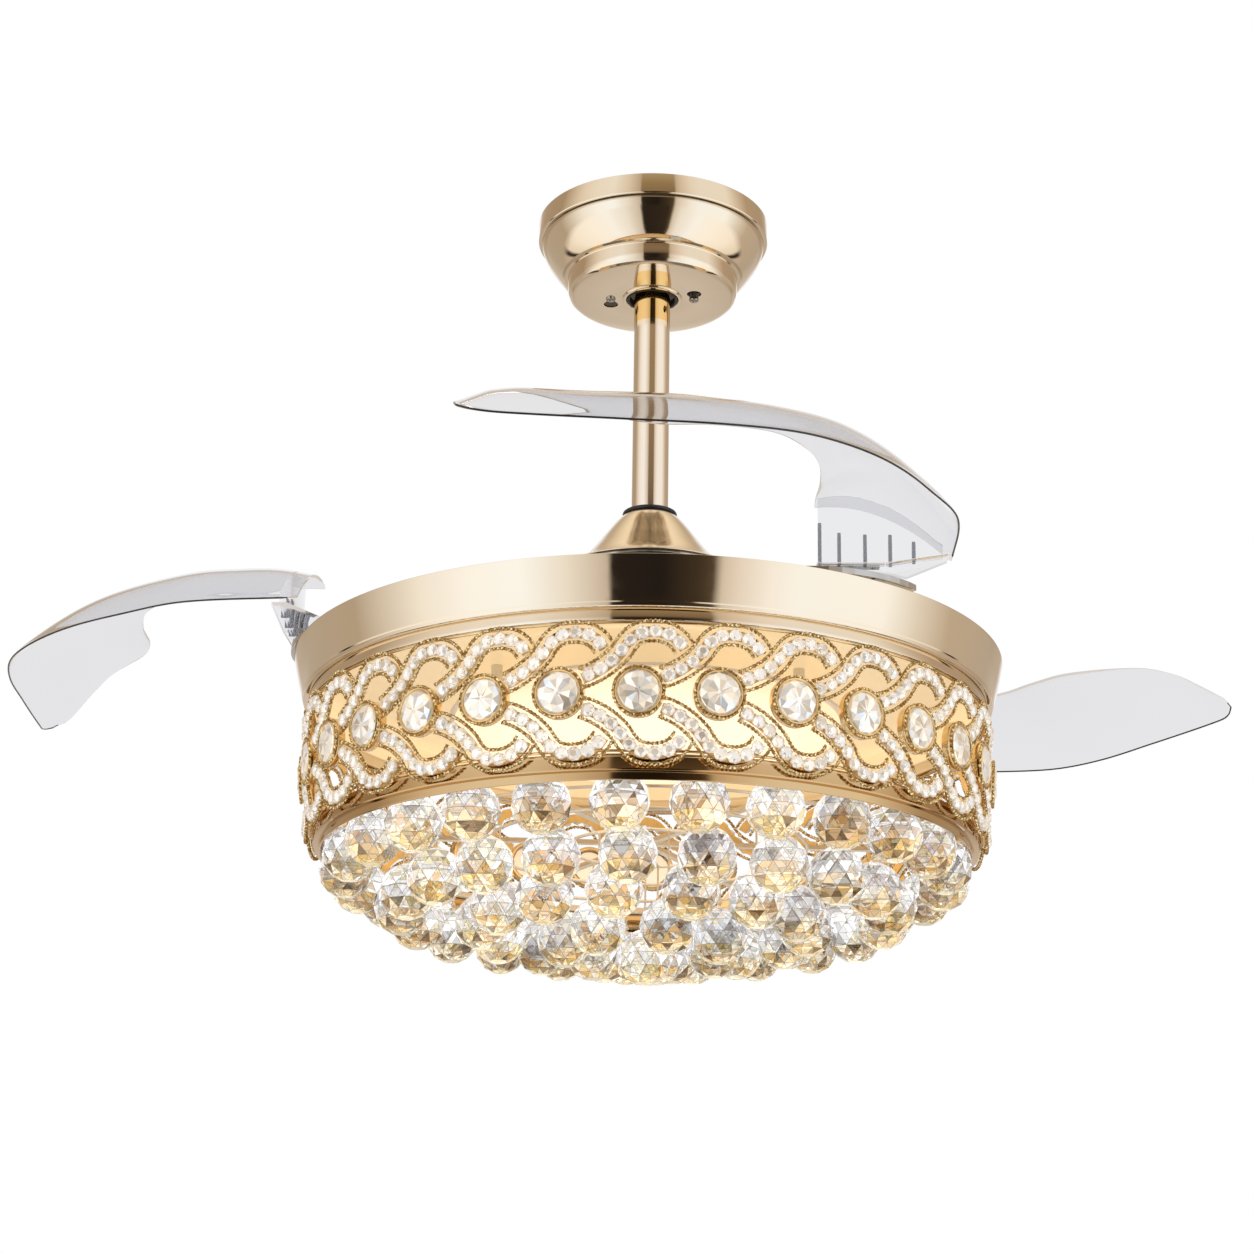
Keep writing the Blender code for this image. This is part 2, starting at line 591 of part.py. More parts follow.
keep(hanger_bracket(), "zinc")
keep(block("receiver", (-35, 35), (33, 59), (-20.9, -2.8)), "white")
keep(canopy(), "gold")
keep(lathe("canopy_trim_ring", [(20.6, -56.2), (20.6, -58.8), (22.2, -58.8), (22.2, -60.2), (21.2, -61), (19.2, -61), (19.2, -56.2)], 24, ring=True), "gold")
keep(lathe("canopy_grommet", [(18.9, -55.8), (18.9, -61.4), (16.6, -61.4), (16.6, -55.8)], 24, ring=True), "black")
keep(canopy_screw("canopy_screw_left", -SCREW_X), "gold")
keep(canopy_screw("canopy_screw_right", SCREW_X), "gold")

keep(hanger_ball(), "grey", SWING)
keep(rod("downrod_cross_pin", PIN_R, -20.5, 20.5, x=0, y=BALL_Z, sides=16, axis="X"), "steel", SWING)
keep(downrod(), "gold", SWING)
keep(motor_lead(), "black", SWING)
keep(lathe("rubber_ring", [(17.8, D(122)), (19.6, D(121.2)), (19.6, D(119.9)), (18.8, D(119.1)), (13.8, D(119.1)), (13.8, D(122))], 24, ring=True), "black", SWING)
keep(coupling_cover(), "gold", SWING)
keep(yoke(), "steel", SWING)
keep(rod("yoke_pin", PIN_R, -23, 23, x=0, y=YOKE_PIN_Z, sides=16, axis="X"), "steel", SWING)
keep(rod("yoke_set_screw", 2.1, 13.7, 22, x=0, y=D(98), sides=12, axis="Y"), "steel", SWING)
keep(lathe("motor_shaft", [(SHAFT_R, D(77)), (SHAFT_R, D(-22)), (SHAFT_BORE, D(-22)), (SHAFT_BORE, D(77))], 28, ring=True), "steel", SWING)
keep(stator(), "steel", SWING)
keep(lathe("upper_bearing", [(17, D(63.5)), (17, D(55)), (8.8, D(55)), (8.8, D(63.5))], 24, ring=True), "steel", SWING)
keep(lathe("lower_bearing", [(17, D(20)), (17, D(11.6)), (8.8, D(11.6)), (8.8, D(20))], 24, ring=True), "steel", SWING)

pan = lathe("top_pan", [(235.8, D(-12)), (235.8, D(-31)), (233.8, D(-31)), (233.8, D(-14)), (8.9, D(-14)), (8.9, D(-12))], 48, ring=True)
keep(pan, "gold", SWING)
rim = lathe("rim_ring", [(RIM_R, D(0)), (246.6, D(-15)), (RIM_LOW_R, D(-RIM_H)), (RIM_LOW_R, D(-32.3)), (236.4, D(-32.3)), (236.4, D(-30)), (239.8, D(-29.4)),
                         (248.0, D(0))], 48, ring=True)
keep(rim, "gold", SWING)
keep(lathe("upper_ring", [(238.4, D(-32.6)), (238.4, D(-40)), (233.4, D(-40)), (233.4, D(-32.6))], 40, ring=True), "gold", SWING)
keep(filigree_band(), "gold", SWING)
keep(lathe("lower_ring", [(231, D(-124)), (231, D(-133.5)), (226.5, D(-134)), (226.5, D(-139.5)), (225.3, D(-139.5)), (222.8, D(-134)), (222.8, D(-124))], 40, ring=True), "gold", SWING)
keep(block("led_driver", (-45, 45), (37.6, 82.6), (D(-34), D(-14.3))), "white", SWING)
board = rod("led_board", 140, D(-38), D(-36), sides=36)
for k in range(3):
    px, py = polar(120, -30 + 120 * k)
    board = add(board, rod("post", 4, D(-37), D(-14.3), px, py, 8))
keep(board, "white", SWING)
keep(lathe("led_lens", [(0, D(-38.3)), (136, D(-38.3)), (136, D(-44)), (130, D(-46.5)), (0, D(-47.5))], 36), "warm", SWING)
nut = cut(rod("lamp_nut", 14, D(-20.5), D(-14.3), sides=6), rod("c", SHAFT_R + GAP, D(-30), D(0), sides=28))
keep(nut, "steel", SWING)
keep(crystal_frame(), "gold", SWING)
for k, (count, r, z, start) in enumerate(RINGS):
    keep(crystal_ring(f"crystal_ring_{k + 1}", count, r, z, start, CENTRE_BALL_Z if k == 3 else None), "crystal", SWING)

top = lathe("rotor_top_cover", [(12, D(66)), (21, D(66)), (23, D(56)), (HOUSING_R, D(50)), (HOUSING_R, D(36)), (FLANGE_R, D(35.5)), (FLANGE_R, D(32.8)),
                                (68.4, D(32.8)), (68.4, D(47)), (17.3, D(53.2)), (17.3, D(64)), (12, D(64))], 28, ring=True)
keep(top, "grey", (0, 0, 0))
low = lathe("rotor_bottom_cover", [(FLANGE_R, D(32.5)), (FLANGE_R, D(29.8)), (HOUSING_R, D(29.5)), (HOUSING_R, D(-1.7)), (12, D(-1.7)), (12, D(11.2)), (17.3, D(11.2)),
                                   (17.3, D(20.5)), (21, D(20.5)), (21, D(1.7)), (68.4, D(1.7)), (68.4, D(32.5))], 28, ring=True)
keep(low, "grey", (0, 0, 0))
keep(lathe("magnet_ring", [(MAGNET_R[1], D(46)), (MAGNET_R[1], D(22)), (MAGNET_R[0], D(22)), (MAGNET_R[0], D(46))], 28, ring=True), "magnet", (0, 0, 0))
disc = rod("blade_disc", DISC_R, D(DISC_Z[0]), D(DISC_Z[1]), sides=40)
holes = [rod("c", 30, D(-15), D(20), sides=20)]
for k in range(3):
    px, py = polar(130, -51.3 + 60 + 120 * k)
    holes.append(rod("c", 26, D(-15), D(20), px, py, 12))
keep(cut(disc, *holes), "steel", (0, 0, 0))

for k in (1, 2, 3):
    place = Matrix.Rotation(math.radians(BLADE_TURN[k]), 4, "Z")
    pivot = place @ Vector((PIVOT[0], PIVOT[1], 0))
    swing = place @ about(PIVOT, BLADE_OPEN[k])
    centre = (pivot.x, pivot.y, D(12))
    keep(move(pivot_shaft(f"pivot_shaft_{k}"), place), "steel", centre)
    keep(move(pivot_cap(f"pivot_cap_{k}"), place), "steel", centre)
    keep(move(return_spring(f"return_spring_{k}"), place), "steel", centre)
    keep(move(blade_holder(f"blade_holder_{k}"), swing), "grey", centre)
    keep(move(blade(f"blade_{k}"), swing), "clear", centre)
    keep(move(clamp_plate(f"blade_clamp_plate_{k}"), swing), "grey", centre)

# ---------------------------------------------------------------- axes of the joints
AXES = {
    "ball_tilt_axis": (SWING, ("hanger_ball", "downrod_cross_pin")),
    "rod_pin_axis": (SWING, ("downrod", "motor_lead", "rubber_ring", "coupling_cover", "yoke", "yoke_pin", "yoke_set_screw", "motor_shaft", "stator",
                             "upper_bearing", "lower_bearing", "top_pan", "rim_ring", "upper_ring", "filigree_band", "lower_ring", "led_driver",
                             "led_board", "led_lens", "lamp_nut", "crystal_frame") + tuple(f"crystal_ring_{k}" for k in range(1, 5))),
    "rotor_axis": ((0, 0, D(0)), ("rotor_top_cover", "rotor_bottom_cover", "magnet_ring", "blade_disc") + tuple(
        f"{part}_{k}" for part in ("pivot_shaft", "pivot_cap", "return_spring") for k in (1, 2, 3))),
}
for k in (1, 2, 3):
    p = Matrix.Rotation(math.radians(BLADE_TURN[k]), 4, "Z") @ Vector((PIVOT[0], PIVOT[1], 0))
    AXES[f"blade_pivot_axis_{k}"] = ((p.x, p.y, D(12)), (f"blade_holder_{k}", f"blade_{k}", f"blade_clamp_plate_{k}"))
for name, (spot, children) in AXES.items():
    empty = bpy.data.objects.new(name, None)
    empty.empty_display_size = 0.03
    empty.location = Vector(spot) * MM
    PART.objects.link(empty)
    for child in children:
        MADE[child].parent = empty
        MADE[child].matrix_parent_inverse = Matrix.Translation(-Vector(spot) * MM)
bpy.context.view_layer.update()
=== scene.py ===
"""Looks for the ceiling fan: finishes, turned trim, filigree, cut glass, clear blades, studio light and camera.

Sizes are in millimetres until they reach a mesh. zc is a height above the rim's top edge, which hangs DROP below the ceiling.
"""

import math
import random

import bmesh
import bpy
from mathutils import Matrix, Vector


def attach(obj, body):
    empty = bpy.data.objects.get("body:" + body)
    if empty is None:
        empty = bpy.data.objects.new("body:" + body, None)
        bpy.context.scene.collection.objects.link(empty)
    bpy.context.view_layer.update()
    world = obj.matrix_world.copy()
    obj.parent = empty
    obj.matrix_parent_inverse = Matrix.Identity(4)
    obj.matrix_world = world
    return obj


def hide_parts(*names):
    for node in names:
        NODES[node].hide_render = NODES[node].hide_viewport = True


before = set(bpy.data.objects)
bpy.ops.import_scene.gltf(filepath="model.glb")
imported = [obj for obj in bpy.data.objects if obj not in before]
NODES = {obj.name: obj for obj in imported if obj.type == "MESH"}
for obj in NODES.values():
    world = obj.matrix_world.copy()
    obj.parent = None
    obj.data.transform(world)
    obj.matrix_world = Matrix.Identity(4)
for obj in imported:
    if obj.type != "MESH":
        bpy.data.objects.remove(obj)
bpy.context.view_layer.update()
SCENE = bpy.context.scene
MM = 0.001
DROP = 353.0
RNG = random.Random(11)


def D(z):
    return z - DROP


# ---------------------------------------------------------------- materials


class Graph:
    """A short way to wire a node tree."""

    def __init__(self, tree):
        self.tree = tree
        tree.nodes.clear()

    def node(self, kind, inputs=None, **settings):
        n = self.tree.nodes.new(kind)
        for key, value in settings.items():
            setattr(n, key, value)
        for key, value in (inputs or {}).items():
            if isinstance(value, bpy.types.NodeSocket):
                self.tree.links.new(value, n.inputs[key])
            else:
                n.inputs[key].default_value = value
        return n

    def ramp(self, fac, stops, mode="LINEAR"):
        n = self.node("ShaderNodeValToRGB", {"Fac": fac})
        n.color_ramp.interpolation = mode
        e = n.color_ramp.elements
        while len(e) > 1:
            e.remove(e[-1])
        for i, (at, c) in enumerate(stops):
            c = (c, c, c) if isinstance(c, (int, float)) else c
            el = e[0] if i == 0 else e.new(at)
            el.position = at
            el.color = (*c, 1)
        return n.outputs["Color"]

    def span(self, value, a, b, lo, hi):
        return self.node("ShaderNodeMapRange", {"Value": value, "From Min": a, "From Max": b, "To Min": lo, "To Max": hi}).outputs["Result"]

    def mix(self, fac, a, b, blend="MIX"):
        n = self.node("ShaderNodeMix", data_type="RGBA", blend_type=blend)
        for i, value in ((0, fac), (6, a), (7, b)):
            if isinstance(value, bpy.types.NodeSocket):
                self.tree.links.new(value, n.inputs[i])
            else:
                n.inputs[i].default_value = value if i == 0 else (*value, 1)
        return n.outputs[2]


def noise(g, coords, scale, detail=3.0, rough=0.5):
    return g.node("ShaderNodeTexNoise", {"Vector": coords, "Scale": scale, "Detail": detail, "Roughness": rough}).outputs["Fac"]


def new_material(name):
    m = bpy.data.materials.new(name)
    m.use_nodes = True
    g = Graph(m.node_tree)
    out = g.node("ShaderNodeOutputMaterial")
    p = g.node("ShaderNodeBsdfPrincipled")
    m.node_tree.links.new(p.outputs["BSDF"], out.inputs["Surface"])
    coords = g.node("ShaderNodeTexCoord").outputs["Object"]
    return m, g, p, coords


def wire_up(g, p, sockets):
    for key, value in sockets.items():
        if isinstance(value, bpy.types.NodeSocket):
            g.tree.links.new(value, p.inputs[key])
        else:
            p.inputs[key].default_value = value


def metal(name, base, rough, spread=0.03, scale=40.0, bump=0.02, shade=0.9, metallic=1.0, grain=None, coat=0.0):
    """A plated or bare metal: colour and gloss drift slightly, with a fine surface ripple."""
    m, g, p, co = new_material(name)
    big = noise(g, co, scale, 2.0)
    fine = noise(g, co, scale * 14, 3.0)
    if grain:
        stretched = g.node("ShaderNodeMapping", {"Vector": co, "Scale": grain}).outputs["Vector"]
        fine = noise(g, stretched, 30.0, 4.0)
    dark = tuple(c * shade for c in base)
    wire_up(g, p, {
        "Base Color": g.mix(g.span(big, 0.35, 0.65, 0, 1), base, dark),
        "Roughness": g.span(fine, 0.3, 0.7, max(rough - spread, 0.01), rough + spread),
        "Metallic": metallic, "Coat Weight": coat, "Coat Roughness": 0.05,
        "Normal": g.node("ShaderNodeBump", {"Height": fine, "Strength": bump, "Distance": 0.0004}).outputs["Normal"],
    })
    return m


def plastic(name, base, rough, bump=0.1, scale=300.0, shade=0.85, **more):
    m, g, p, co = new_material(name)
    fine = noise(g, co, scale, 4.0)
    big = noise(g, co, scale / 18, 2.0)
    dark = tuple(c * shade for c in base)
    wire_up(g, p, {
        "Base Color": g.mix(g.span(big, 0.35, 0.65, 0, 1), base, dark),
        "Roughness": g.span(fine, 0.3, 0.7, rough * 0.85, rough * 1.15),
        "Normal": g.node("ShaderNodeBump", {"Height": fine, "Strength": bump, "Distance": 0.0003}).outputs["Normal"],
        **more,
    })
    return m


def facet_reflection_tint(g, stops, seed=0.0):
    """A painted reflection that changes from facet to facet: each flat facet has its own normal and its own place in
    the piece, and picks its own stop of the ramp, the light and dark stops standing for what the facet reflects.
    """
    normal = g.node("ShaderNodeNewGeometry").outputs["True Normal"]
    shifted = g.node("ShaderNodeVectorMath", {0: normal, 1: (seed, seed * 2, seed * 3)}, operation="ADD").outputs["Vector"]
    snapped = g.node("ShaderNodeVectorMath", {0: shifted, 1: (0.02, 0.02, 0.02)}, operation="SNAP").outputs["Vector"]
    value = g.node("ShaderNodeTexWhiteNoise", {"Vector": snapped}, noise_dimensions="3D").outputs["Value"]
    return g.ramp(value, stops), value


def cut_glass(name, stops, ior, rough=0.0, transmission=1.0, metallic=0.0, glow=0.0, seed=0.0):
    m, g, p, co = new_material(name)
    tint, value = facet_reflection_tint(g, stops, seed)
    wire_up(g, p, {
        "Base Color": tint, "IOR": ior, "Transmission Weight": transmission, "Metallic": metallic,
        "Roughness": g.span(noise(g, co, 90.0), 0.3, 0.7, rough, rough + 0.02),
        "Normal": g.node("ShaderNodeBump", {"Height": noise(g, co, 260.0), "Strength": 0.015, "Distance": 0.0002}).outputs["Normal"],
    })
    # Painted glow: lamp light shining through the stone from behind, put in as emission.
    if glow:
        wire_up(g, p, {"Emission Color": g.mix(value, (1.0, 0.88, 0.70), (1.0, 0.97, 0.92)), "Emission Strength": glow})
    return m


M = {}
M["champagne"] = metal("champagne_mirror", (0.84, 0.725, 0.57), 0.06, 0.02, 7.0, 0.008, 0.97)
M["champagne_in"] = metal("champagne_satin_inside", (0.84, 0.66, 0.41), 0.34, 0.06, 9.0, 0.04, 0.95, metallic=0.6)


def lit(m, colour, strength):
    """Light caught from the lamp, which the few bounces of a render lose inside the drum. Faces that look up get none."""
    tree = m.node_tree
    p = next(n for n in tree.nodes if n.type == "BSDF_PRINCIPLED")
    p.inputs["Emission Color"].default_value = (*colour, 1)
    geometry, split, share = (tree.nodes.new(kind) for kind in ("ShaderNodeNewGeometry", "ShaderNodeSeparateXYZ", "ShaderNodeMapRange"))
    for key, value in (("From Min", 0.2), ("From Max", 0.5), ("To Min", strength), ("To Max", 0.0)):
        share.inputs[key].default_value = value
    tree.links.new(geometry.outputs["True Normal"], split.inputs["Vector"])
    tree.links.new(split.outputs["Z"], share.inputs["Value"])
    tree.links.new(share.outputs["Result"], p.inputs["Emission Strength"])
    return m


lit(M["champagne_in"], (1.0, 0.82, 0.52), 0.44)


def rod_material():
    """Polished plating, with the maker's clear film left on below its edge near the canopy."""
    m, g, p, co = new_material("rod_plating")
    height = g.node("ShaderNodeSeparateXYZ", {"Vector": co}).outputs["Z"]
    film = g.span(height, -0.0817, -0.0811, 0.0, 1.0)
    streak = noise(g, g.node("ShaderNodeMapping", {"Vector": co, "Scale": (1, 1, 0.06)}).outputs["Vector"], 30.0, 4.0)
    wire_up(g, p, {
        "Base Color": g.mix(film, (0.92, 0.84, 0.74), (0.90, 0.66, 0.32)), "Metallic": 1.0,
        "Roughness": g.mix(film, (0.095, 0.095, 0.095), (0.05, 0.05, 0.05)),
        "Normal": g.node("ShaderNodeBump", {"Height": streak, "Strength": 0.012, "Distance": 0.0004}).outputs["Normal"],
    })
    return m


M["rod_gold"] = rod_material()
M["bell"] = metal("champagne_bell", (0.87, 0.77, 0.62), 0.17, 0.03, 9.0, 0.015, 0.97)
M["champagne_low"] = metal("champagne_lower_ring", (0.62, 0.42, 0.215), 0.08, 0.02, 7.0, 0.01, 0.97)
# Painted shade: the canopy's inside is coloured near black, for the shade inside the closed cap.
M["hollow"] = metal("inside_painted_dark_shade", (0.10, 0.078, 0.055), 0.5, 0.05, 30.0, 0.05, 0.9, metallic=0.5)
M["warm"] = metal("filigree_gold", (0.87, 0.64, 0.33), 0.11, 0.04, 120.0, 0.05, 0.84)


def rope_material():
    """Twisted gilt wire with painted light: its colour is painted bright at the centre of small cells, a painted
    highlight for the crowns of the twist, and dark in between, painted shade for the crevices.
    """
    m, g, p, co = new_material("rope_wire_gold")
    cells = g.node("ShaderNodeTexVoronoi", {"Vector": co, "Scale": 520.0}).outputs["Distance"]
    # Mask of the painted highlight and painted shade, also used as the bump height.
    crown = g.span(cells, 0.30, 0.62, 1.0, 0.0)
    wire_up(g, p, {
        "Base Color": g.mix(crown, (0.40, 0.24, 0.08), (1.0, 0.82, 0.47)), "Metallic": 1.0,
        "Roughness": g.span(cells, 0.2, 0.8, 0.08, 0.3),
        "Normal": g.node("ShaderNodeBump", {"Height": crown, "Strength": 0.25, "Distance": 0.0003}).outputs["Normal"],
    })
    return m


M["rope"] = rope_material()
M["pale_wire"] = metal("pale_gold_wire", (0.88, 0.78, 0.62), 0.36, 0.04, 90.0, 0.04, 0.92)
M["zinc"] = metal("zinc_plate", (0.60, 0.61, 0.60), 0.32, 0.08, 60.0, 0.12, 0.85)
M["steel"] = metal("bright_steel", (0.66, 0.65, 0.63), 0.2, 0.06, 50.0, 0.06, 0.9)
M["screw"] = metal("screw_nickel", (0.42, 0.40, 0.37), 0.14, 0.05, 90.0, 0.05, 0.85)
M["core"] = metal("lamination_steel", (0.32, 0.32, 0.33), 0.4, 0.08, 20.0, 0.25, 0.8, grain=(1, 1, 60))
M["magnet"] = metal("ferrite", (0.07, 0.07, 0.075), 0.5, 0.08, 200.0, 0.2, 0.8, metallic=0.3)
M["copper"] = metal("enamelled_copper", (0.72, 0.30, 0.14), 0.28, 0.06, 60.0, 0.3, 0.8, grain=(1, 1, 40))
M["dark_metal"] = metal("graphite_paint", (0.20, 0.206, 0.22), 0.30, 0.06, 70.0, 0.12, 0.85, metallic=0.55, coat=0.3)
M["motor"] = metal("motor_casting", (0.50, 0.50, 0.51), 0.36, 0.08, 90.0, 0.25, 0.85)
M["holder"] = metal("holder_nickel", (0.60, 0.61, 0.63), 0.2, 0.05, 60.0, 0.06, 0.85)
M["dark_plastic"] = plastic("dark_grey_plastic", (0.050, 0.052, 0.058), 0.36, 0.12)
M["rubber"] = plastic("black_rubber", (0.012, 0.012, 0.013), 0.42, 0.1, 500.0)
M["white_plastic"] = plastic("white_plastic", (0.78, 0.78, 0.76), 0.4, 0.08)
M["board"] = metal("board_aluminium", (0.72, 0.72, 0.70), 0.42, 0.06, 40.0, 0.1, 0.93)
M["red_wire"] = plastic("cable_sheath", (0.60, 0.60, 0.58), 0.45, 0.05)

# Painted reflections for the upper facets: the white, grey, blue and pink stops stand for the room each facet shows.
CLEAR_REFLECTIONS = [(0.0, (0.99, 0.99, 1.0)), (0.16, (0.72, 0.73, 0.75)), (0.26, (1.0, 1.0, 1.0)), (0.40, (0.42, 0.42, 0.43)), (0.48, (0.98, 0.97, 0.96)), (0.60, (0.66, 0.66, 0.67)), (0.68, (0.98, 0.97, 0.96)),
         (0.76, (0.78, 0.88, 1.0)), (0.84, (1.0, 1.0, 1.0)), (0.92, (1.0, 0.86, 0.88)), (1.0, (0.22, 0.215, 0.21))]
# Painted reflections for the facets towards the bottom: the amber, brown and near-black stops stand for the warm lamp
# and gold drum each facet shows.
AMBER_REFLECTIONS = [(0.0, (1.0, 0.98, 0.90)), (0.14, (1.0, 0.78, 0.24)), (0.28, (0.44, 0.26, 0.05)), (0.38, (1.0, 0.95, 0.78)), (0.46, (0.07, 0.045, 0.02)), (0.54, (0.10, 0.065, 0.025)), (0.60, (1.0, 0.78, 0.30)),
         (0.70, (0.98, 0.98, 0.96)), (0.80, (0.24, 0.15, 0.04)), (0.90, (1.0, 0.88, 0.50)), (1.0, (0.90, 0.94, 1.0))]


def ball_material():
    """Cut glass with painted reflections: each facet is tinted with a painted reflection, clear above and amber towards
    the bottom for the warm lamp and gold drum seen in it; painted glints glow in some facets and at the bottom tip; and
    a fine line runs along each cut.
    """
    m, g, p, co = new_material("cut_crystal")
    clear, value = facet_reflection_tint(g, CLEAR_REFLECTIONS, 0.0)
    amber, other = facet_reflection_tint(g, AMBER_REFLECTIONS, 0.17)
    down = g.node("ShaderNodeSeparateXYZ", {"Vector": g.node("ShaderNodeNewGeometry").outputs["True Normal"]}).outputs["Z"]
    low = g.span(down, -0.10, -0.45, 0.0, 1.0)
    pale = g.mix(1.0, clear, (0.86, 0.885, 0.93), "MULTIPLY")
    tint = g.mix(low, pale, amber)
    line = g.node("ShaderNodeWireframe", {"Size": 0.0004}, use_pixel_size=False).outputs[0]
    # Painted glints: emission in some facets, and a painted glow on the faces at the bottom tip.
    painted_glints = g.mix(low, g.ramp(value, [(0.0, 0.10), (0.16, 0.32), (0.30, 0.04), (0.42, 0.0), (0.54, 0.38), (0.66, 0.08), (0.80, 0.44), (0.90, 0.0), (1.0, 0.04)]), g.ramp(other, [(0.0, 0.14), (0.2, 0.0), (0.85, 0.0), (1.0, 0.30)]))
    tip = g.span(down, -0.84, -0.92, 0.0, 0.30)
    glow = g.node("ShaderNodeMath", {0: painted_glints, 1: tip}, operation="MAXIMUM").outputs[0]
    lit_up = g.node("ShaderNodeMath", {0: glow, 1: g.span(line, 0.0, 1.0, 1.0, 0.35)}, operation="MULTIPLY").outputs[0]
    wire_up(g, p, {
        "Base Color": g.mix(g.span(line, 0.0, 1.0, 0.0, 0.8), tint, (0.13, 0.11, 0.09)), "IOR": 1.50, "Transmission Weight": 1.0,
        "Roughness": g.span(noise(g, co, 90.0), 0.3, 0.7, 0.0, 0.012),
        "Emission Color": g.mix(low, (0.98, 0.98, 1.0), (1.0, 0.90, 0.60)), "Emission Strength": lit_up,
    })
    return m


M["ball"] = ball_material()
# Painted reflections for the foiled stones: the light, dark, amber and blue stops stand for what each facet reflects.
FOIL_REFLECTIONS = [(0.0, (0.96, 0.93, 0.88)), (0.16, (0.40, 0.32, 0.22)), (0.28, (0.98, 0.95, 0.90)), (0.42, (0.98, 0.84, 0.66)), (0.54, (0.62, 0.75, 0.92)),
        (0.66, (0.98, 0.96, 0.90)), (0.78, (0.36, 0.29, 0.24)), (0.88, (0.97, 0.88, 0.72)), (1.0, (0.98, 0.98, 0.98))]
M["stone"] = cut_glass("foiled_stone", FOIL_REFLECTIONS, 1.6, 0.02, 0.0, 0.5, 0.12, 0.31)
# Painted reflections for the beads: the light and grey stops stand for what each facet reflects.
BEAD_REFLECTIONS = [(0.0, (0.98, 0.97, 0.95)), (0.22, (1.0, 0.95, 0.88)), (0.42, (0.99, 0.99, 0.99)), (0.54, (0.60, 0.52, 0.42)), (0.62, (0.98, 0.92, 0.82)), (0.76, (1.0, 1.0, 1.0)),
        (0.88, (0.72, 0.74, 0.78)), (1.0, (1.0, 0.99, 0.97))]
M["bead"] = cut_glass("bead_crystal", BEAD_REFLECTIONS, 1.48, 0.02, 0.60, 0.34, 0.10, 0.57)


def clear_plastic(name, base, rough, transmission=1.0, coat=0.05):
    m, g, p, co = new_material(name)
    slow = noise(g, co, 3.5, 2.0)
    wire_up(g, p, {
        "Base Color": g.mix(g.span(slow, 0.4, 0.6, 0, 1), base, tuple(c * 0.975 for c in base)),
        "IOR": 1.05, "Transmission Weight": transmission, "Coat Weight": coat, "Coat Roughness": 0.03,
        "Roughness": g.span(noise(g, co, 60.0), 0.3, 0.7, rough, rough + 0.02),
        "Normal": g.node("ShaderNodeBump", {"Height": noise(g, co, 14.0, 1.0), "Strength": 0.03, "Distance": 0.001}).outputs["Normal"],
    })
    return m


M["blade"] = clear_plastic("clear_blade", (0.805, 0.805, 0.825), 0.01)
# Painted dark edge: the blade's rim faces are tinted near black, for the dark surroundings seen through the clear edge.
M["blade_edge"] = clear_plastic("clear_blade_rim_painted_dark", (0.035, 0.036, 0.042), 0.15, 0.35, 0.0)
M["foot"] = clear_plastic("clear_foot", (0.84, 0.843, 0.86), 0.01)
# A near-black line painted along the blade's outer edge, for the same dark surroundings seen through the edge.
M["edge_line"] = plastic("blade_edge_line", (0.014, 0.0145, 0.017), 0.25, 0.05)
# A darker tint painted on the clear ribs, for the dark lines that refraction draws along them.
M["rib"] = clear_plastic("clear_rib", (0.30, 0.31, 0.34), 0.05, 0.9, 0.3)


def lens_material():
    m, g, p, co = new_material("lamp_diffuser")
    r = g.node("ShaderNodeVectorMath", {0: co, 1: (0, 0, 0.3955)}, operation="ADD")
    dist = g.node("ShaderNodeVectorMath", {0: r.outputs["Vector"]}, operation="LENGTH").outputs["Value"]
    glow = g.ramp(g.span(dist, 0.0, 0.15, 0, 1), [(0.0, (1.0, 0.80, 0.58)), (0.6, (1.0, 0.77, 0.54)), (0.86, (0.98, 0.70, 0.44)), (1.0, (0.8, 0.5, 0.26))])
    wire_up(g, p, {"Base Color": (0.34, 0.31, 0.25, 1), "Roughness": g.span(noise(g, co, 200.0), 0.3, 0.7, 0.38, 0.5), "Emission Color": glow, "Emission Strength": 1.15})
    return m


M["lens"] = lens_material()


def board_material():
    m, g, p, co = new_material("lit_board")
    wire_up(g, p, {"Base Color": g.mix(noise(g, co, 60.0), (0.80, 0.78, 0.72), (0.86, 0.84, 0.80)), "Roughness": g.span(noise(g, co, 300.0), 0.3, 0.7, 0.35, 0.5), "Metallic": 0.2})
    return m


M["lit_board"] = board_material()


# ---------------------------------------------------------------- mesh helpers


def finish_mesh(name, bm, material, angle=32.0, body=None, replaces=(), merge=1e-6):
    bmesh.ops.remove_doubles(bm, verts=bm.verts, dist=merge)
    bmesh.ops.recalc_face_normals(bm, faces=bm.faces)
    me = bpy.data.meshes.new(name)
    bm.to_mesh(me)
    bm.free()
    obj = bpy.data.objects.new(name, me)
    SCENE.collection.objects.link(obj)
    for mat in material if isinstance(material, (list, tuple)) else [material]:
        me.materials.append(mat)
    shade(obj, angle)
    settle(obj, body, replaces)
    return obj


def shade(obj, angle):
    me = obj.data
    me.polygons.foreach_set("use_smooth", [angle is not None] * len(me.polygons))
    if angle is not None:
        me.set_sharp_from_angle(angle=math.radians(angle))
    me.update()


def settle(obj, body, replaces=()):
    if body:
        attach(obj, body)
    if replaces:
        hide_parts(*((replaces,) if isinstance(replaces, str) else replaces))
    return obj


def modified(obj):
    """Applies the object's modifiers to its mesh."""
    graph = bpy.context.evaluated_depsgraph_get()
    me = bpy.data.meshes.new_from_object(obj.evaluated_get(graph))
    mats = list(obj.data.materials)
    obj.modifiers.clear()
    obj.data = me
    if not len(me.materials):
        for m in mats:
            me.materials.append(m)
    return obj


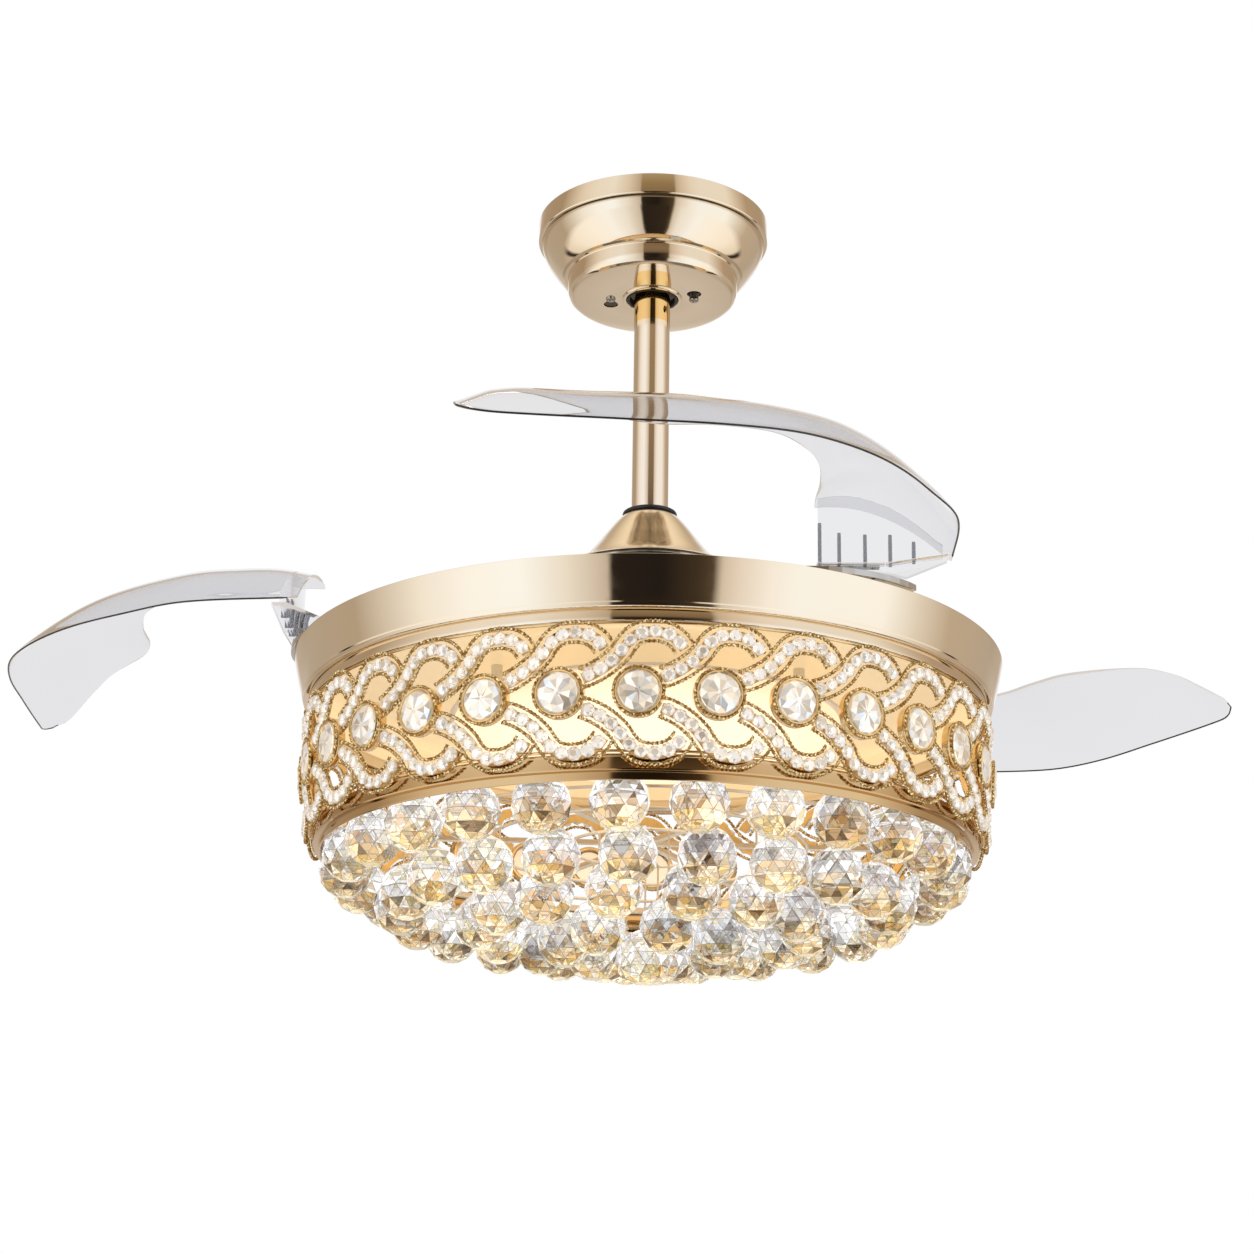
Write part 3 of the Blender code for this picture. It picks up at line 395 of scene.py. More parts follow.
def rounded(profile, radius=0.6, steps=3, keep=()):
    """A closed (r, z) outline with its corners rounded. Points on the axis and those in keep stay sharp."""
    out = []
    n = len(profile)
    for i, p in enumerate(profile):
        if p[0] < 1e-6 or i in keep:
            out.append(tuple(p[:2]))
            continue
        p = Vector(p[:2])
        a, b = Vector(profile[i - 1][:2]), Vector(profile[(i + 1) % n][:2])
        da, db = a - p, b - p
        la, lb = da.length, db.length
        if la < 1e-6 or lb < 1e-6:
            continue
        turn = da.angle(db)
        if turn > math.radians(165):
            out.append(tuple(p))
            continue
        cut = min(radius / max(math.tan(turn / 2), 0.15), la * 0.45, lb * 0.45)
        s, e = p + da.normalized() * cut, p + db.normalized() * cut
        for k in range(steps + 1):
            t = k / steps
            out.append(tuple(s * (1 - t) ** 2 + p * 2 * t * (1 - t) + e * t ** 2))
    return out


def turned_bm(profile, steps=160, bm=None, matrix=None, closed=True):
    """Turns an (r, z) outline, in mm with z in world millimetres, about the Z axis."""
    bm = bm or bmesh.new()
    rings = []
    for r, z in profile:
        if r < 1e-6:
            v = bm.verts.new((0, 0, z * MM))
            rings.append([v] * steps)
        else:
            rings.append([bm.verts.new((r * math.cos(2 * math.pi * k / steps) * MM, r * math.sin(2 * math.pi * k / steps) * MM, z * MM)) for k in range(steps)])
    made = []
    count = len(rings) if closed else len(rings) - 1
    for i in range(count):
        a, b = rings[i], rings[(i + 1) % len(rings)]
        for k in range(steps):
            q = [a[k], a[(k + 1) % steps], b[(k + 1) % steps], b[k]]
            q = [v for j, v in enumerate(q) if v not in q[:j]]
            if len(q) > 2:
                made.append(bm.faces.new(q))
    if matrix is not None:
        done = {v for ring in rings for v in ring}
        bmesh.ops.transform(bm, matrix=matrix, verts=list(done))
    return bm


def turned(name, profile, material, body, steps=160, radius=0.5, replaces=(), angle=32.0, keep=(), at=None):
    bm = turned_bm(rounded(profile, radius, 3, keep) if radius else profile, steps, matrix=at)
    return finish_mesh(name, bm, material, angle, body, replaces)


def sweep(bm, points, section, closed=False, normals=None, twist=None, caps=True):
    """Sweeps section(i) -> [(a, b)] in mm along points in metres. normals gives each point's up direction."""
    n = len(points)
    rows = []
    up = None
    for i, p in enumerate(points):
        before = points[i - 1] if i or closed else points[0]
        after = points[(i + 1) % n] if i < n - 1 or closed else points[-1]
        t = (after - before).normalized()
        if normals is not None:
            up = normals[i]
        elif up is None:
            up = Vector((0, 0, 1)) if abs(t.z) < 0.9 else Vector((1, 0, 0))
        side = t.cross(up).normalized()
        up2 = side.cross(t).normalized()
        if normals is None:
            up = up2
        a = twist[i] if twist is not None else 0.0
        c, s = math.cos(a), math.sin(a)
        rows.append([bm.verts.new(p + (side * (x * c - y * s) + up2 * (x * s + y * c)) * MM) for x, y in section(i)])
    m = len(rows[0])
    for i in range(n if closed else n - 1):
        a, b = rows[i], rows[(i + 1) % n]
        for k in range(m):
            bm.faces.new((a[k], a[(k + 1) % m], b[(k + 1) % m], b[k]))
    if caps and not closed:
        bm.faces.new(rows[0])
        bm.faces.new(list(reversed(rows[-1])))
    return rows


def ring_section(r, sides=8, flat=1.0):
    return [(r * math.cos(2 * math.pi * k / sides), r * flat * math.sin(2 * math.pi * k / sides)) for k in range(sides)]


def tube(bm, points, r, sides=8, closed=False):
    s = ring_section(r, sides)
    sweep(bm, points, lambda i: s, closed)


def catmull(points, per=8, closed=False):
    """A smooth run through points (tuples of any length)."""
    pts = [Vector(p) for p in points]
    n = len(pts)
    out = []
    for i in range(n if closed else n - 1):
        p1, p2 = pts[i], pts[(i + 1) % n]
        p0 = pts[i - 1] if i or closed else p1 + (p1 - p2)
        p3 = pts[(i + 2) % n] if i < n - 2 or closed else p2 + (p2 - p1)
        for k in range(per):
            t = k / per
            out.append(0.5 * ((2 * p1) + (p2 - p0) * t + (2 * p0 - 5 * p1 + 4 * p2 - p3) * t * t + (3 * p1 - p0 - 3 * p2 + p3) * t ** 3))
    if not closed:
        out.append(pts[-1])
    return out


def resample(points, step):
    """Points at an even spacing along a polyline."""
    lengths = [0.0]
    for a, b in zip(points, points[1:]):
        lengths.append(lengths[-1] + (b - a).length)
    n = max(2, round(lengths[-1] / step))
    out = []
    j = 0
    for k in range(n + 1):
        want = lengths[-1] * k / n
        while j < len(points) - 2 and lengths[j + 1] < want:
            j += 1
        span = max(lengths[j + 1] - lengths[j], 1e-9)
        out.append(points[j].lerp(points[j + 1], (want - lengths[j]) / span))
    return out


def about(point, degrees):
    p = Vector((point[0] * MM, point[1] * MM, 0))
    return Matrix.Translation(p) @ Matrix.Rotation(math.radians(degrees), 4, "Z") @ Matrix.Translation(-p)


def slab(bm, outline, z0, z1, matrix=None):
    """A flat outline in mm, world z, pushed up into a plate."""
    low = [bm.verts.new((x * MM, y * MM, z0 * MM)) for x, y in outline]
    high = [bm.verts.new((x * MM, y * MM, z1 * MM)) for x, y in outline]
    bm.faces.new(list(reversed(low)))
    bm.faces.new(high)
    n = len(outline)
    for k in range(n):
        bm.faces.new((low[k], low[(k + 1) % n], high[(k + 1) % n], high[k]))
    if matrix is not None:
        bmesh.ops.transform(bm, matrix=matrix, verts=low + high)
    return low + high


def bevelled(obj, width, segments=2, angle=35.0):
    b = obj.modifiers.new("edge", "BEVEL")
    b.width = width * MM
    b.segments = segments
    b.limit_method = "ANGLE"
    b.angle_limit = math.radians(angle)
    b.harden_normals = False
    modified(obj)
    shade(obj, 32.0)
    return obj


def cut_by(obj, *tools):
    for tool in tools:
        m = obj.modifiers.new("cut", "BOOLEAN")
        m.operation = "DIFFERENCE"
        m.solver = "EXACT"
        m.object = tool
        modified(obj)
    for tool in tools:
        bpy.data.objects.remove(tool)
    shade(obj, 32.0)
    return obj


def loose(name, bm):
    bmesh.ops.recalc_face_normals(bm, faces=bm.faces)
    me = bpy.data.meshes.new(name)
    bm.to_mesh(me)
    bm.free()
    obj = bpy.data.objects.new(name, me)
    SCENE.collection.objects.link(obj)
    return obj


def circle(x, y, r, n=32):
    return [(x + r * math.cos(2 * math.pi * k / n), y + r * math.sin(2 * math.pi * k / n)) for k in range(n)]


def screw_head(bm, x, y, z, r, h, down=True, cross=True, steps=28):
    """A pan head with a cross recess, its face towards -Z (down) or +Z."""
    s = -1.0 if down else 1.0
    prof = [(0, 0.0), (r, 0.0), (r, h * 0.35), (r * 0.93, h * 0.7), (r * 0.75, h * 0.92), (r * 0.42, h)]
    m = Matrix.Translation((x * MM, y * MM, z * MM)) @ Matrix.Diagonal((1, 1, s, 1))
    turned_bm(prof + [(r * 0.40, h * 0.99), (r * 0.16, h * 0.45), (0, h * 0.35)], steps, bm, m)
    if cross:
        for a in (0.4, 0.4 + math.pi / 2):
            c, t = math.cos(a), math.sin(a)
            w, l = r * 0.11, r * 0.62
            pts = [(c * l - t * w, t * l + c * w), (-c * l - t * w, -t * l + c * w), (-c * l + t * w, -t * l - c * w), (c * l + t * w, t * l - c * w)]
            vs = slab(bm, pts, h * 0.93, h * 1.005)
            bmesh.ops.transform(bm, matrix=m, verts=vs)


# ---------------------------------------------------------------- ceiling canopy


CANOPY = [(85.8, -0.4), (85.8, -15.0), (85.2, -15.7), (83.3, -15.9), (82.2, -16.4), (83.2, -17.1), (83.0, -18.7), (82.2, -21.5), (80.8, -25.0), (78.7, -29.0), (76.0, -33.2),
          (73.0, -37.4), (70.0, -41.0), (67.6, -43.2), (65.6, -44.1), (64.1, -44.3), (63.5, -45.0), (63.4, -49.0), (63.1, -53.0), (62.5, -56.2), (61.4, -58.2),
          (59.6, -59.4), (57.4, -59.8), (21.0, -59.8), (21.0, -58.6), (56.0, -58.6), (60.2, -56.8), (61.7, -53.6), (62.0, -49.6), (62.0, -42.6), (66.4, -42.0),
          (70.6, -38.0), (76.4, -30.0), (80.2, -22.5), (82.2, -15.4), (84.6, -14.0), (84.6, -0.4)]


def canopy():
    obj = turned("canopy_shell", CANOPY, M["champagne"], None, 192, 0.25, angle=28)
    tools = []
    for side in (-1, 1):
        x = 31.0 * side
        for outline in (circle(x, 0.0, 3.4, 24), circle(x, -side * 9.5, 5.4, 32), [(x - 3.3, 0), (x + 3.3, 0), (x + 3.3, -side * 9.0), (x - 3.3, -side * 9.0)][::-side]):
            bm = bmesh.new()
            slab(bm, outline, -62.0, -56.5)
            tools.append(loose("hole", bm))
    cut_by(obj, *tools)
    shade(obj, 28)
    # The inside faces of the shell get the near-black painted shade.
    obj.data.materials.append(M["hollow"])
    for face in obj.data.polygons:
        c, n = face.center, face.normal
        if c.xy.length > 0.022 and ((n.z > 0.3 and c.z > -0.0590) or n.xy.dot(c.xy.normalized()) < -0.15):
            face.material_index = 1
    settle(obj, "mount", "canopy")


canopy()
turned("canopy_ring", [(19.2, -57.3), (22.2, -57.3), (22.2, -60.3), (21.6, -60.9), (19.8, -60.9), (19.2, -60.4)], M["champagne"], "mount", 96, 0.3, "canopy_trim_ring")
turned("canopy_rubber", [(16.6, -55.9), (18.9, -55.9), (18.9, -61.2), (17.9, -61.4), (16.9, -60.6)], M["rubber"], "mount", 72, 0.4, "canopy_grommet")
for side, node in ((-1, "canopy_screw_left"), (1, "canopy_screw_right")):
    bm = bmesh.new()
    x = 31.0 * side
    screw_head(bm, x, 0, -59.4, 3.6, 2.2)
    turned_bm([(0, -58.8), (1.7, -58.8), (1.7, -48.2), (0, -48.2)], 20, bm, Matrix.Translation((x * MM, 0, 0)))
    finish_mesh("screw_" + ("left" if side < 0 else "right"), bm, M["screw"], 30, "mount", node)


# ---------------------------------------------------------------- rod, boot and bell


turned("rod_tube", [(13.35, -12), (13.35, -269), (11.2, -269), (11.2, -12)], M["rod_gold"], "drop", 96, 0.3, "downrod")
turned("rod_ring", [(13.75, D(122.0)), (19.4, D(121.8)), (19.8, D(120.6)), (19.5, D(119.2)), (13.75, D(119.0))], M["rubber"], "drop", 96, 0.8, "rubber_ring")
BELL = [(18.2, 118.6), (19.4, 118.5), (20.7, 117.4), (25.8, 111.9), (31.0, 105.1), (36.6, 97.6), (41.4, 91.2), (43.8, 88.4), (47.4, 83.6), (51.6, 78.8), (56.4, 74.6), (61.6, 71.6), (67.2, 70.2), (71.6, 69.9), (72.2, 69.2),
        (71.4, 68.9), (66.8, 69.0), (61.0, 70.4), (55.6, 73.4), (50.7, 77.8), (46.5, 82.6), (42.8, 87.6), (40.4, 90.2), (35.6, 96.8), (30.0, 104.3), (24.8, 111.0), (19.9, 116.2), (18.2, 116.8)]
turned("bell_cover", [(r, D(z)) for r, z in BELL], M["bell"], "drop", 128, 0.4, "coupling_cover", angle=40)


# ---------------------------------------------------------------- drum


def dz(profile):
    return [(r, D(z)) for r, z in profile]


turned("drum_rim", dz([(250.0, 0.0), (249.6, -1.6), (246.8, -15.0), (243.0, -28.9), (242.3, -29.7), (242.2, -31.6), (241.2, -32.3), (236.4, -32.3), (236.4, -30.6),
                       (240.6, -29.4), (244.8, -15.0), (248.2, 0.0)]), M["champagne"], "drop", 256, 0.35, "rim_ring", angle=30)
turned("drum_upper_band", dz([(238.4, -32.7), (238.4, -40.0), (233.4, -40.0), (233.4, -32.7)]), M["champagne"], "drop", 256, 0.5, "upper_ring")
turned("drum_top_plate", dz([(235.8, -12), (235.8, -31), (233.8, -31), (233.8, -14), (150, -14), (149, -15.2), (143, -15.2), (142, -14), (8.9, -14), (8.9, -12)]), M["champagne_in"], "drop", 192, 0.5, "top_pan")
turned("drum_lower_band", dz([(231.0, -124.1), (231.0, -125.4), (230.4, -126.0), (230.6, -133.4), (230.0, -134.3), (226.6, -134.6), (226.4, -138.9), (225.9, -139.5), (225.3, -139.5),
                              (222.8, -134.6), (222.8, -124.1)]), M["champagne_low"], "drop", 256, 0.35, "lower_ring")


# ---------------------------------------------------------------- filigree


UNITS = 30
FIRST = -90.0 - 1.34
ARC = 235.9  # the radius at which the drawn spacing of 49.4 mm is one thirtieth of a turn
MID = -86.5
RIBBON = [(14.2, 9.4), (19.5, 11.4), (24.6, 14.0), (30.0, 17.6), (35.0, 22.0), (38.8, 26.2), (42.0, 31.2), (46.0, 35.6), (51.2, 38.2), (57.0, 38.9), (63.0, 38.6), (69.0, 36.6), (74.0, 33.0), (77.2, 28.2)]
RIBBON_HALF = 6.5
SEAT_HALF = 3.3


def skin(z):
    """The filigree's own radius at a height."""
    return 238.2 + (234.0 - 238.2) * (-40.3 - z) / 83.4


def on_drum(k, u, v, w):
    a = math.radians(FIRST + 12.0 * k) + u / ARC
    z = MID + v
    r = skin(z) + w
    return Vector((r * math.cos(a), r * math.sin(a), D(z))) * MM


def out_of_drum(k, u):
    a = math.radians(FIRST + 12.0 * k) + u / ARC
    return Vector((math.cos(a), math.sin(a), -0.05)).normalized()


def offset_line(line, by):
    out = []
    for i, p in enumerate(line):
        t = (line[min(i + 1, len(line) - 1)] - line[max(i - 1, 0)]).normalized()
        out.append(Vector((p.x - t.y * by, p.y + t.x * by)))
    return out


def rope(bm, k, line, w, thick=1.42, thin=0.86, pitch=5.6, step=0.66, flip=1, closed=False):
    pts = resample(line, step)
    if closed:
        pts = pts[:-1]
    place = [on_drum(k, p.x, p.y * flip, w) for p in pts]
    ups = [out_of_drum(k, p.x) for p in pts]
    run = step
    s = [(thick * math.cos(2 * math.pi * j / 6), thin * math.sin(2 * math.pi * j / 6)) for j in range(6)]
    sweep(bm, place, lambda i: s, closed, ups, [2 * math.pi * i * run / pitch for i in range(len(pts))])


def chaton(bm, centre, out, along_dir, r=4.0, n=8, spin=0.0):
    """A small round crystal: a table, a crown, a girdle and a cone behind."""
    side = along_dir.cross(out).normalized()
    rows = []
    for rad, h, shift in ((0.46, 2.7, 0.5), (0.86, 1.6, 0.0), (1.0, 0.5, 0.5), (0.78, -0.9, 0.5)):
        rows.append([bm.verts.new(centre + (side * math.cos(a) + along_dir * math.sin(a)) * rad * r * MM + out * h * r / 4.0 * MM)
                     for a in (spin + 2 * math.pi * (j + shift) / n for j in range(n))])
    bm.faces.new(rows[0])
    bm.faces.new(list(reversed(rows[3])))
    t, c, g, b = rows
    for j in range(n):
        q = (j + 1) % n
        bm.faces.new((t[j], t[q], c[q]))
        bm.faces.new((t[j], c[q], c[j]))
        bm.faces.new((c[j], c[q], g[j]))
        bm.faces.new((c[q], g[q], g[j]))
        bm.faces.new((g[j], g[q], b[q], b[j]))


def stud(bm, centre, out, r):
    m = Matrix.Translation(centre) @ out.to_track_quat("Z", "Y").to_matrix().to_4x4() @ Matrix.Diagonal((1, 1, 0.8, 1))
    bmesh.ops.create_uvsphere(bm, u_segments=8, v_segments=5, radius=r * MM, matrix=m)


def filigree():
    line = catmull(RIBBON, 6)
    upper, lower = offset_line(line, RIBBON_HALF), offset_line(line, -RIBBON_HALF)
    pitch = 8.5
    for flip, label in ((1, "upper"), (-1, "lower")):
        ropes_a, ropes_b, plates, beads, studs = (bmesh.new() for _ in range(5))
        for k in range(UNITS):
            rope(ropes_a, k, upper, 1.7, flip=flip)
            rope(ropes_b, k, lower, 1.7, flip=flip)
            edge_a, edge_b = offset_line(line, SEAT_HALF), offset_line(line, -SEAT_HALF)
            edge_a = resample(edge_a, sum((b - a).length for a, b in zip(edge_a, edge_a[1:])) / 26)
            edge_b = resample(edge_b, sum((b - a).length for a, b in zip(edge_b, edge_b[1:])) / 26)
            rows = []
            for a, b in zip(edge_a, edge_b):
                mid = a.lerp(b, 0.5)
                rows.append([on_drum(k, q.x, q.y * flip, w) for q, w in ((a, 0.4), (a, -1.1), (b, -1.1), (b, 0.4), (b.lerp(a, 0.12), -0.2), (mid, -0.5), (a.lerp(b, 0.12), -0.2))])
            made = [[plates.verts.new(p) for p in row] for row in rows]
            for i in range(len(made) - 1):
                p, q = made[i], made[i + 1]
                for j in range(7):
                    plates.faces.new((p[j], p[(j + 1) % 7], q[(j + 1) % 7], q[j]))
            plates.faces.new(made[0])
            plates.faces.new(list(reversed(made[-1])))
            run = resample(line, pitch)
            for i, p in enumerate(run[:-1]):
                q = run[i + 1]
                c = p.lerp(q, 0.5)
                t = (on_drum(k, q.x, q.y * flip, 0) - on_drum(k, p.x, p.y * flip, 0)).normalized()
                out = out_of_drum(k, c.x)
                t = (t - out * t.dot(out)).normalized()
                chaton(beads, on_drum(k, c.x, c.y * flip, 1.5 + RNG.uniform(-0.2, 0.3)), (out + t * RNG.uniform(-0.12, 0.12)).normalized(), t, 4.72 + RNG.uniform(-0.40, 0.15), 8, RNG.uniform(0, 0.8))
            for u, v, r in ((line[0].x, line[0].y + 6.0, 1.7), (line[0].x + 2.4, line[0].y - 5.6, 1.7), (line[-1].x + 2.6, line[-1].y - 2.0, 1.6)):
                stud(studs, on_drum(k, u, v * flip, 1.8), out_of_drum(k, u), r)
        which = "filigree_band" if flip == 1 else ()
        finish_mesh(label + "_scroll_rope_outer", ropes_a, M["rope"], 50, "drop", "filigree_band", 1e-7)
        finish_mesh(label + "_scroll_rope_inner", ropes_b, M["rope"], 50, "drop", "filigree_band", 1e-7)
        finish_mesh(label + "_scroll_channel", plates, M["warm"], 35, "drop", "filigree_band", 1e-7)
        finish_mesh(label + "_scroll_crystals", beads, M["bead"], None, "drop", "filigree_band", 1e-7)
        finish_mesh(label + "_scroll_studs", studs, M["warm"], 60, "drop", "filigree_band", 1e-7)

    bezels, stones, ropes = bmesh.new(), bmesh.new(), bmesh.new()
    for k in range(UNITS):
        a = math.radians(FIRST + 12.0 * k)
        out = Vector((math.cos(a), math.sin(a), -0.05)).normalized()
        origin = Vector((skin(MID) * math.cos(a), skin(MID) * math.sin(a), D(MID))) * MM
        turn = out.to_track_quat("Z", "Y").to_matrix().to_4x4()
        place = Matrix.Translation(origin) @ turn
        prof = rounded([(13.6, -1.6), (16.2, -1.6), (16.4, 3.0), (16.0, 4.6), (15.0, 5.2), (14.5, 6.2), (13.9, 6.2), (13.5, 5.2), (13.3, 1.0)], 0.5, 2)
        turned_bm([(r, z) for r, z in prof], 40, bezels, place)
        for rad, h in ((15.75, 5.0),):
            n = 96
            pts = [place @ (Vector((rad * math.cos(2 * math.pi * j / n), rad * math.sin(2 * math.pi * j / n), h)) * MM) for j in range(n)]
            ups = [out] * n
            s = [(1.2 * math.cos(2 * math.pi * j / 6), 0.75 * math.sin(2 * math.pi * j / 6)) for j in range(6)]
            sweep(ropes, pts, lambda i: s, True, ups, [2 * math.pi * i * 20 / n for i in range(n)])
        n = 12
        spin = RNG.uniform(0, 0.5)
        rows = []
        for rad, h, shift, wobble in ((2.0, 7.4, 0.0, 0.0), (8.6, 7.0, 0.5, 0.42), (12.3, 6.0, 0.0, 0.0), (13.8, 4.4, 0.5, 0.0)):
            rows.append([stones.verts.new(place @ (Vector((rad * math.cos(t), rad * math.sin(t), h + (wobble if j % 2 else -wobble))) * MM))
                         for j, t in enumerate(spin + 2 * math.pi * (j + shift) / n for j in range(n))])
        back = [stones.verts.new(place @ (Vector((rad * math.cos(t), rad * math.sin(t), 1.0)) * MM)) for rad, t in ((12.4, spin + 2 * math.pi * (j + 0.5) / n) for j in range(n))]
        tip = stones.verts.new(place @ (Vector((0, 0, 7.35)) * MM))
        t0, t1, t2, t3 = rows
        for j in range(n):
            q = (j + 1) % n
            stones.faces.new((tip, t0[j], t0[q]))
            stones.faces.new((t0[j], t1[j], t0[q]))
            stones.faces.new((t0[q], t1[j], t1[q]))
            stones.faces.new((t1[j], t2[q], t1[q]))
            stones.faces.new((t1[j], t2[j], t2[q]))
            stones.faces.new((t2[j], t3[j], t2[q]))
            stones.faces.new((t2[q], t3[j], t3[q]))
            stones.faces.new((t3[j], back[j], back[q], t3[q]))
        stones.faces.new(back)
    finish_mesh("bezels", bezels, M["warm"], 40, "drop", "filigree_band", 1e-7)
    finish_mesh("bezel_ropes", ropes, M["rope"], 50, "drop", "filigree_band", 1e-7)
    finish_mesh("bezel_stones", stones, M["stone"], None, "drop", "filigree_band", 1e-7)

    for name, z, r in (("filigree_hoop_top", -41.2, 237.2), ("filigree_hoop_bottom", -122.9, 233.2)):
        bm = bmesh.new()
        pts = [Vector((r * math.cos(2 * math.pi * j / 240), r * math.sin(2 * math.pi * j / 240), D(z))) * MM for j in range(240)]
        tube(bm, pts, 1.0, 8, True)
        finish_mesh(name, bm, M["warm"], 60, "drop", "filigree_band", 1e-7)


filigree()


# ---------------------------------------------------------------- hanging crystals


RINGS = ((26, 207.0, -147.8, 9.2), (21, 168.0, -172.0, -3.8), (14, 112.0, -182.0, -10.5), (7, 55.0, -193.5, -35.0))
WIRE_Z = -127.6


def cut_ball(bm, centre, r=19.5, n=10, spin=0.0, tilt=0.0):
    """A round crystal cut with rows of triangular facets between a flat top and bottom."""
    polar = (17, 40, 64, 90, 116, 140, 161)
    turn = Matrix.Rotation(tilt, 4, "X") @ Matrix.Rotation(spin, 4, "Z")
    rows = []
    for i, deg in enumerate(polar):
        a = math.radians(deg)
        shift = 0.5 * (i % 2)
        rows.append([bm.verts.new(centre + (turn @ Vector((math.sin(a) * math.cos(t), math.sin(a) * math.sin(t), math.cos(a)))) * r * MM)
                     for t in (2 * math.pi * (j + shift) / n for j in range(n))])
    bm.faces.new(rows[0])
    bm.faces.new(list(reversed(rows[-1])))
    for i in range(len(rows) - 1):
        a, b = rows[i], rows[i + 1]
        s = i % 2
        for j in range(n):
            q = (j + 1) % n
            if s == 0:
                bm.faces.new((a[j], b[j], a[q]))
                bm.faces.new((b[j], b[q], a[q]))
            else:
                bm.faces.new((a[j], b[q], a[q]))
                bm.faces.new((a[j], b[j], b[q]))


def crystal_rings():
    for i, (count, radius, z, start) in enumerate(RINGS, 1):
        balls, wires = bmesh.new(), bmesh.new()
        place = [(radius * math.cos(a), radius * math.sin(a), z) for a in (math.radians(-90 + start + 360 * k / count) for k in range(count))]
        if i == 4:
            place.append((0.0, 0.0, -204.5))
        for x, y, h in place:
            c = Vector((x, y, D(h))) * MM
            cut_ball(balls, c, 19.5, 10, RNG.uniform(0, 6.28), RNG.uniform(-0.12, 0.12))
            top = h + 19.3
            turned_bm(rounded([(0, D(top + 1.6)), (2.2, D(top + 1.4)), (3.4, D(top)), (4.4, D(top - 1.8)), (0, D(top - 1.8))], 0.3, 2), 12, wires, Matrix.Translation((x * MM, y * MM, 0)))
            tube(wires, [Vector((x, y, D(top + 1.0))) * MM, Vector((x, y, D(WIRE_Z))) * MM], 0.8, 6)
            if WIRE_Z - top > 14:
                stud(wires, Vector((x, y, D(top + 4.0))) * MM, Vector((0, 0, 1)), 2.0)
        n = 180
        tube(wires, [Vector((radius * math.cos(2 * math.pi * j / n), radius * math.sin(2 * math.pi * j / n), D(WIRE_Z))) * MM for j in range(n)], 1.2, 8, True)
        if i == 4:
            a = math.radians(-90 + start + 180 / count)
            d = Vector((math.cos(a), math.sin(a), 0)) * radius
            tube(wires, [(Vector((0, 0, D(WIRE_Z))) + d) * MM, (Vector((0, 0, D(WIRE_Z))) - d) * MM], 1.2, 8)
        finish_mesh("crystal_balls_%d" % i, balls, M["ball"], None, "drop", "crystal_ring_%d" % i, 1e-7)
        finish_mesh("crystal_wires_%d" % i, wires, M["pale_wire"], 40, "drop", "crystal_ring_%d" % i, 1e-7)


crystal_rings()


# ---------------------------------------------------------------- lamp


turned("lamp_diffuser", dz([(0, -47.4), (100, -47.4), (128, -46.8), (134, -44.6), (136, -41.6), (136, -38.4), (133.5, -38.4), (133.2, -42.0), (130, -44.8), (100, -45.6), (0, -45.6)]), M["lens"], "drop", 128, 0.3, "led_lens")


# ---------------------------------------------------------------- blades


PIVOT = (104.0, -130.0)
TURN = {1: 0.0, 2: 120.0, 3: -120.0}
OPEN = {1: 0.0, 2: -2.9, 3: 26.9}
BODY = {1: "blade_front", 2: "blade_right", 3: "blade_left"}
BLADE_T = 3.0
OUTER_EDGE = ((0.0, 194, -198, 16), (0.17, 189, -276, 15), (0.288, 167, -325, 14), (0.392, 143, -366, 13), (0.485, 116, -399, 11),
              (0.571, 84, -424, 9), (0.666, 42, -437, 8), (0.789, -13, -443, 8), (0.932, -82, -449, 8.5), (0.975, -99, -450, 10), (1.0, -108, -446, 14))
INNER_EDGE = ((0.0, 106.5, -195, 53), (0.06, 106.5, -212, 53), (0.13, 107, -243, 50), (0.22, 105, -270, 51), (0.335, 95, -301, 50), (0.45, 74, -329, 49),
              (0.575, 37, -342, 48), (0.695, 2, -345, 47), (0.805, -31, -358, 48), (0.895, -71, -392, 46), (0.94, -90, -410, 38), (0.965, -99, -421, 30), (0.985, -106, -430, 23), (1.0, -110, -438, 18))
CAMBER = ((0.0, 12.0), (0.1, 18.5), (0.25, 18.0), (0.5, 15.0), (0.62, 15.5), (0.7, 17.0), (0.8, 14.0), (0.9, 6.0), (1.0, 0.5))


def along(table, v):
    """A smooth curve through the table's rows, each row starting with its own place along the curve."""
    n = len(table)
    i = max(0, min(n - 2, sum(1 for row in table if row[0] <= v) - 1))
    t0, t1 = table[i][0], table[i + 1][0]
    s = (v - t0) / (t1 - t0)
    out = []
    for k in range(1, len(table[0])):
        p0, p1 = table[i][k], table[i + 1][k]
        m0 = (table[i + 1][k] - table[i - 1][k]) / (table[i + 1][0] - table[i - 1][0]) if i > 0 else (p1 - p0) / (t1 - t0)
        m1 = (table[i + 2][k] - table[i][k]) / (table[i + 2][0] - table[i][0]) if i < n - 2 else (p1 - p0) / (t1 - t0)
        m0, m1 = m0 * (t1 - t0), m1 * (t1 - t0)
        out.append((2 * s ** 3 - 3 * s ** 2 + 1) * p0 + (s ** 3 - 2 * s ** 2 + s) * m0 + (3 * s ** 2 - 2 * s ** 3) * p1 + (s ** 3 - s ** 2) * m1)
    return out


def blade_point(v, t):
    a, b = Vector(along(OUTER_EDGE, v)), Vector(along(INNER_EDGE, v))
    p = a.lerp(b, t)
    p.z += along(CAMBER, v)[0] * 4 * t * (1 - t)
    return p


def on_blade(k):
    return Matrix.Rotation(math.radians(TURN[k]), 4, "Z") @ about(PIVOT, OPEN[k])


ROOT_RIBS = ((108.6, 36.0), (121.0, 29.5), (137.5, 28.5), (153.5, 28.5), (168.5, 24.0))


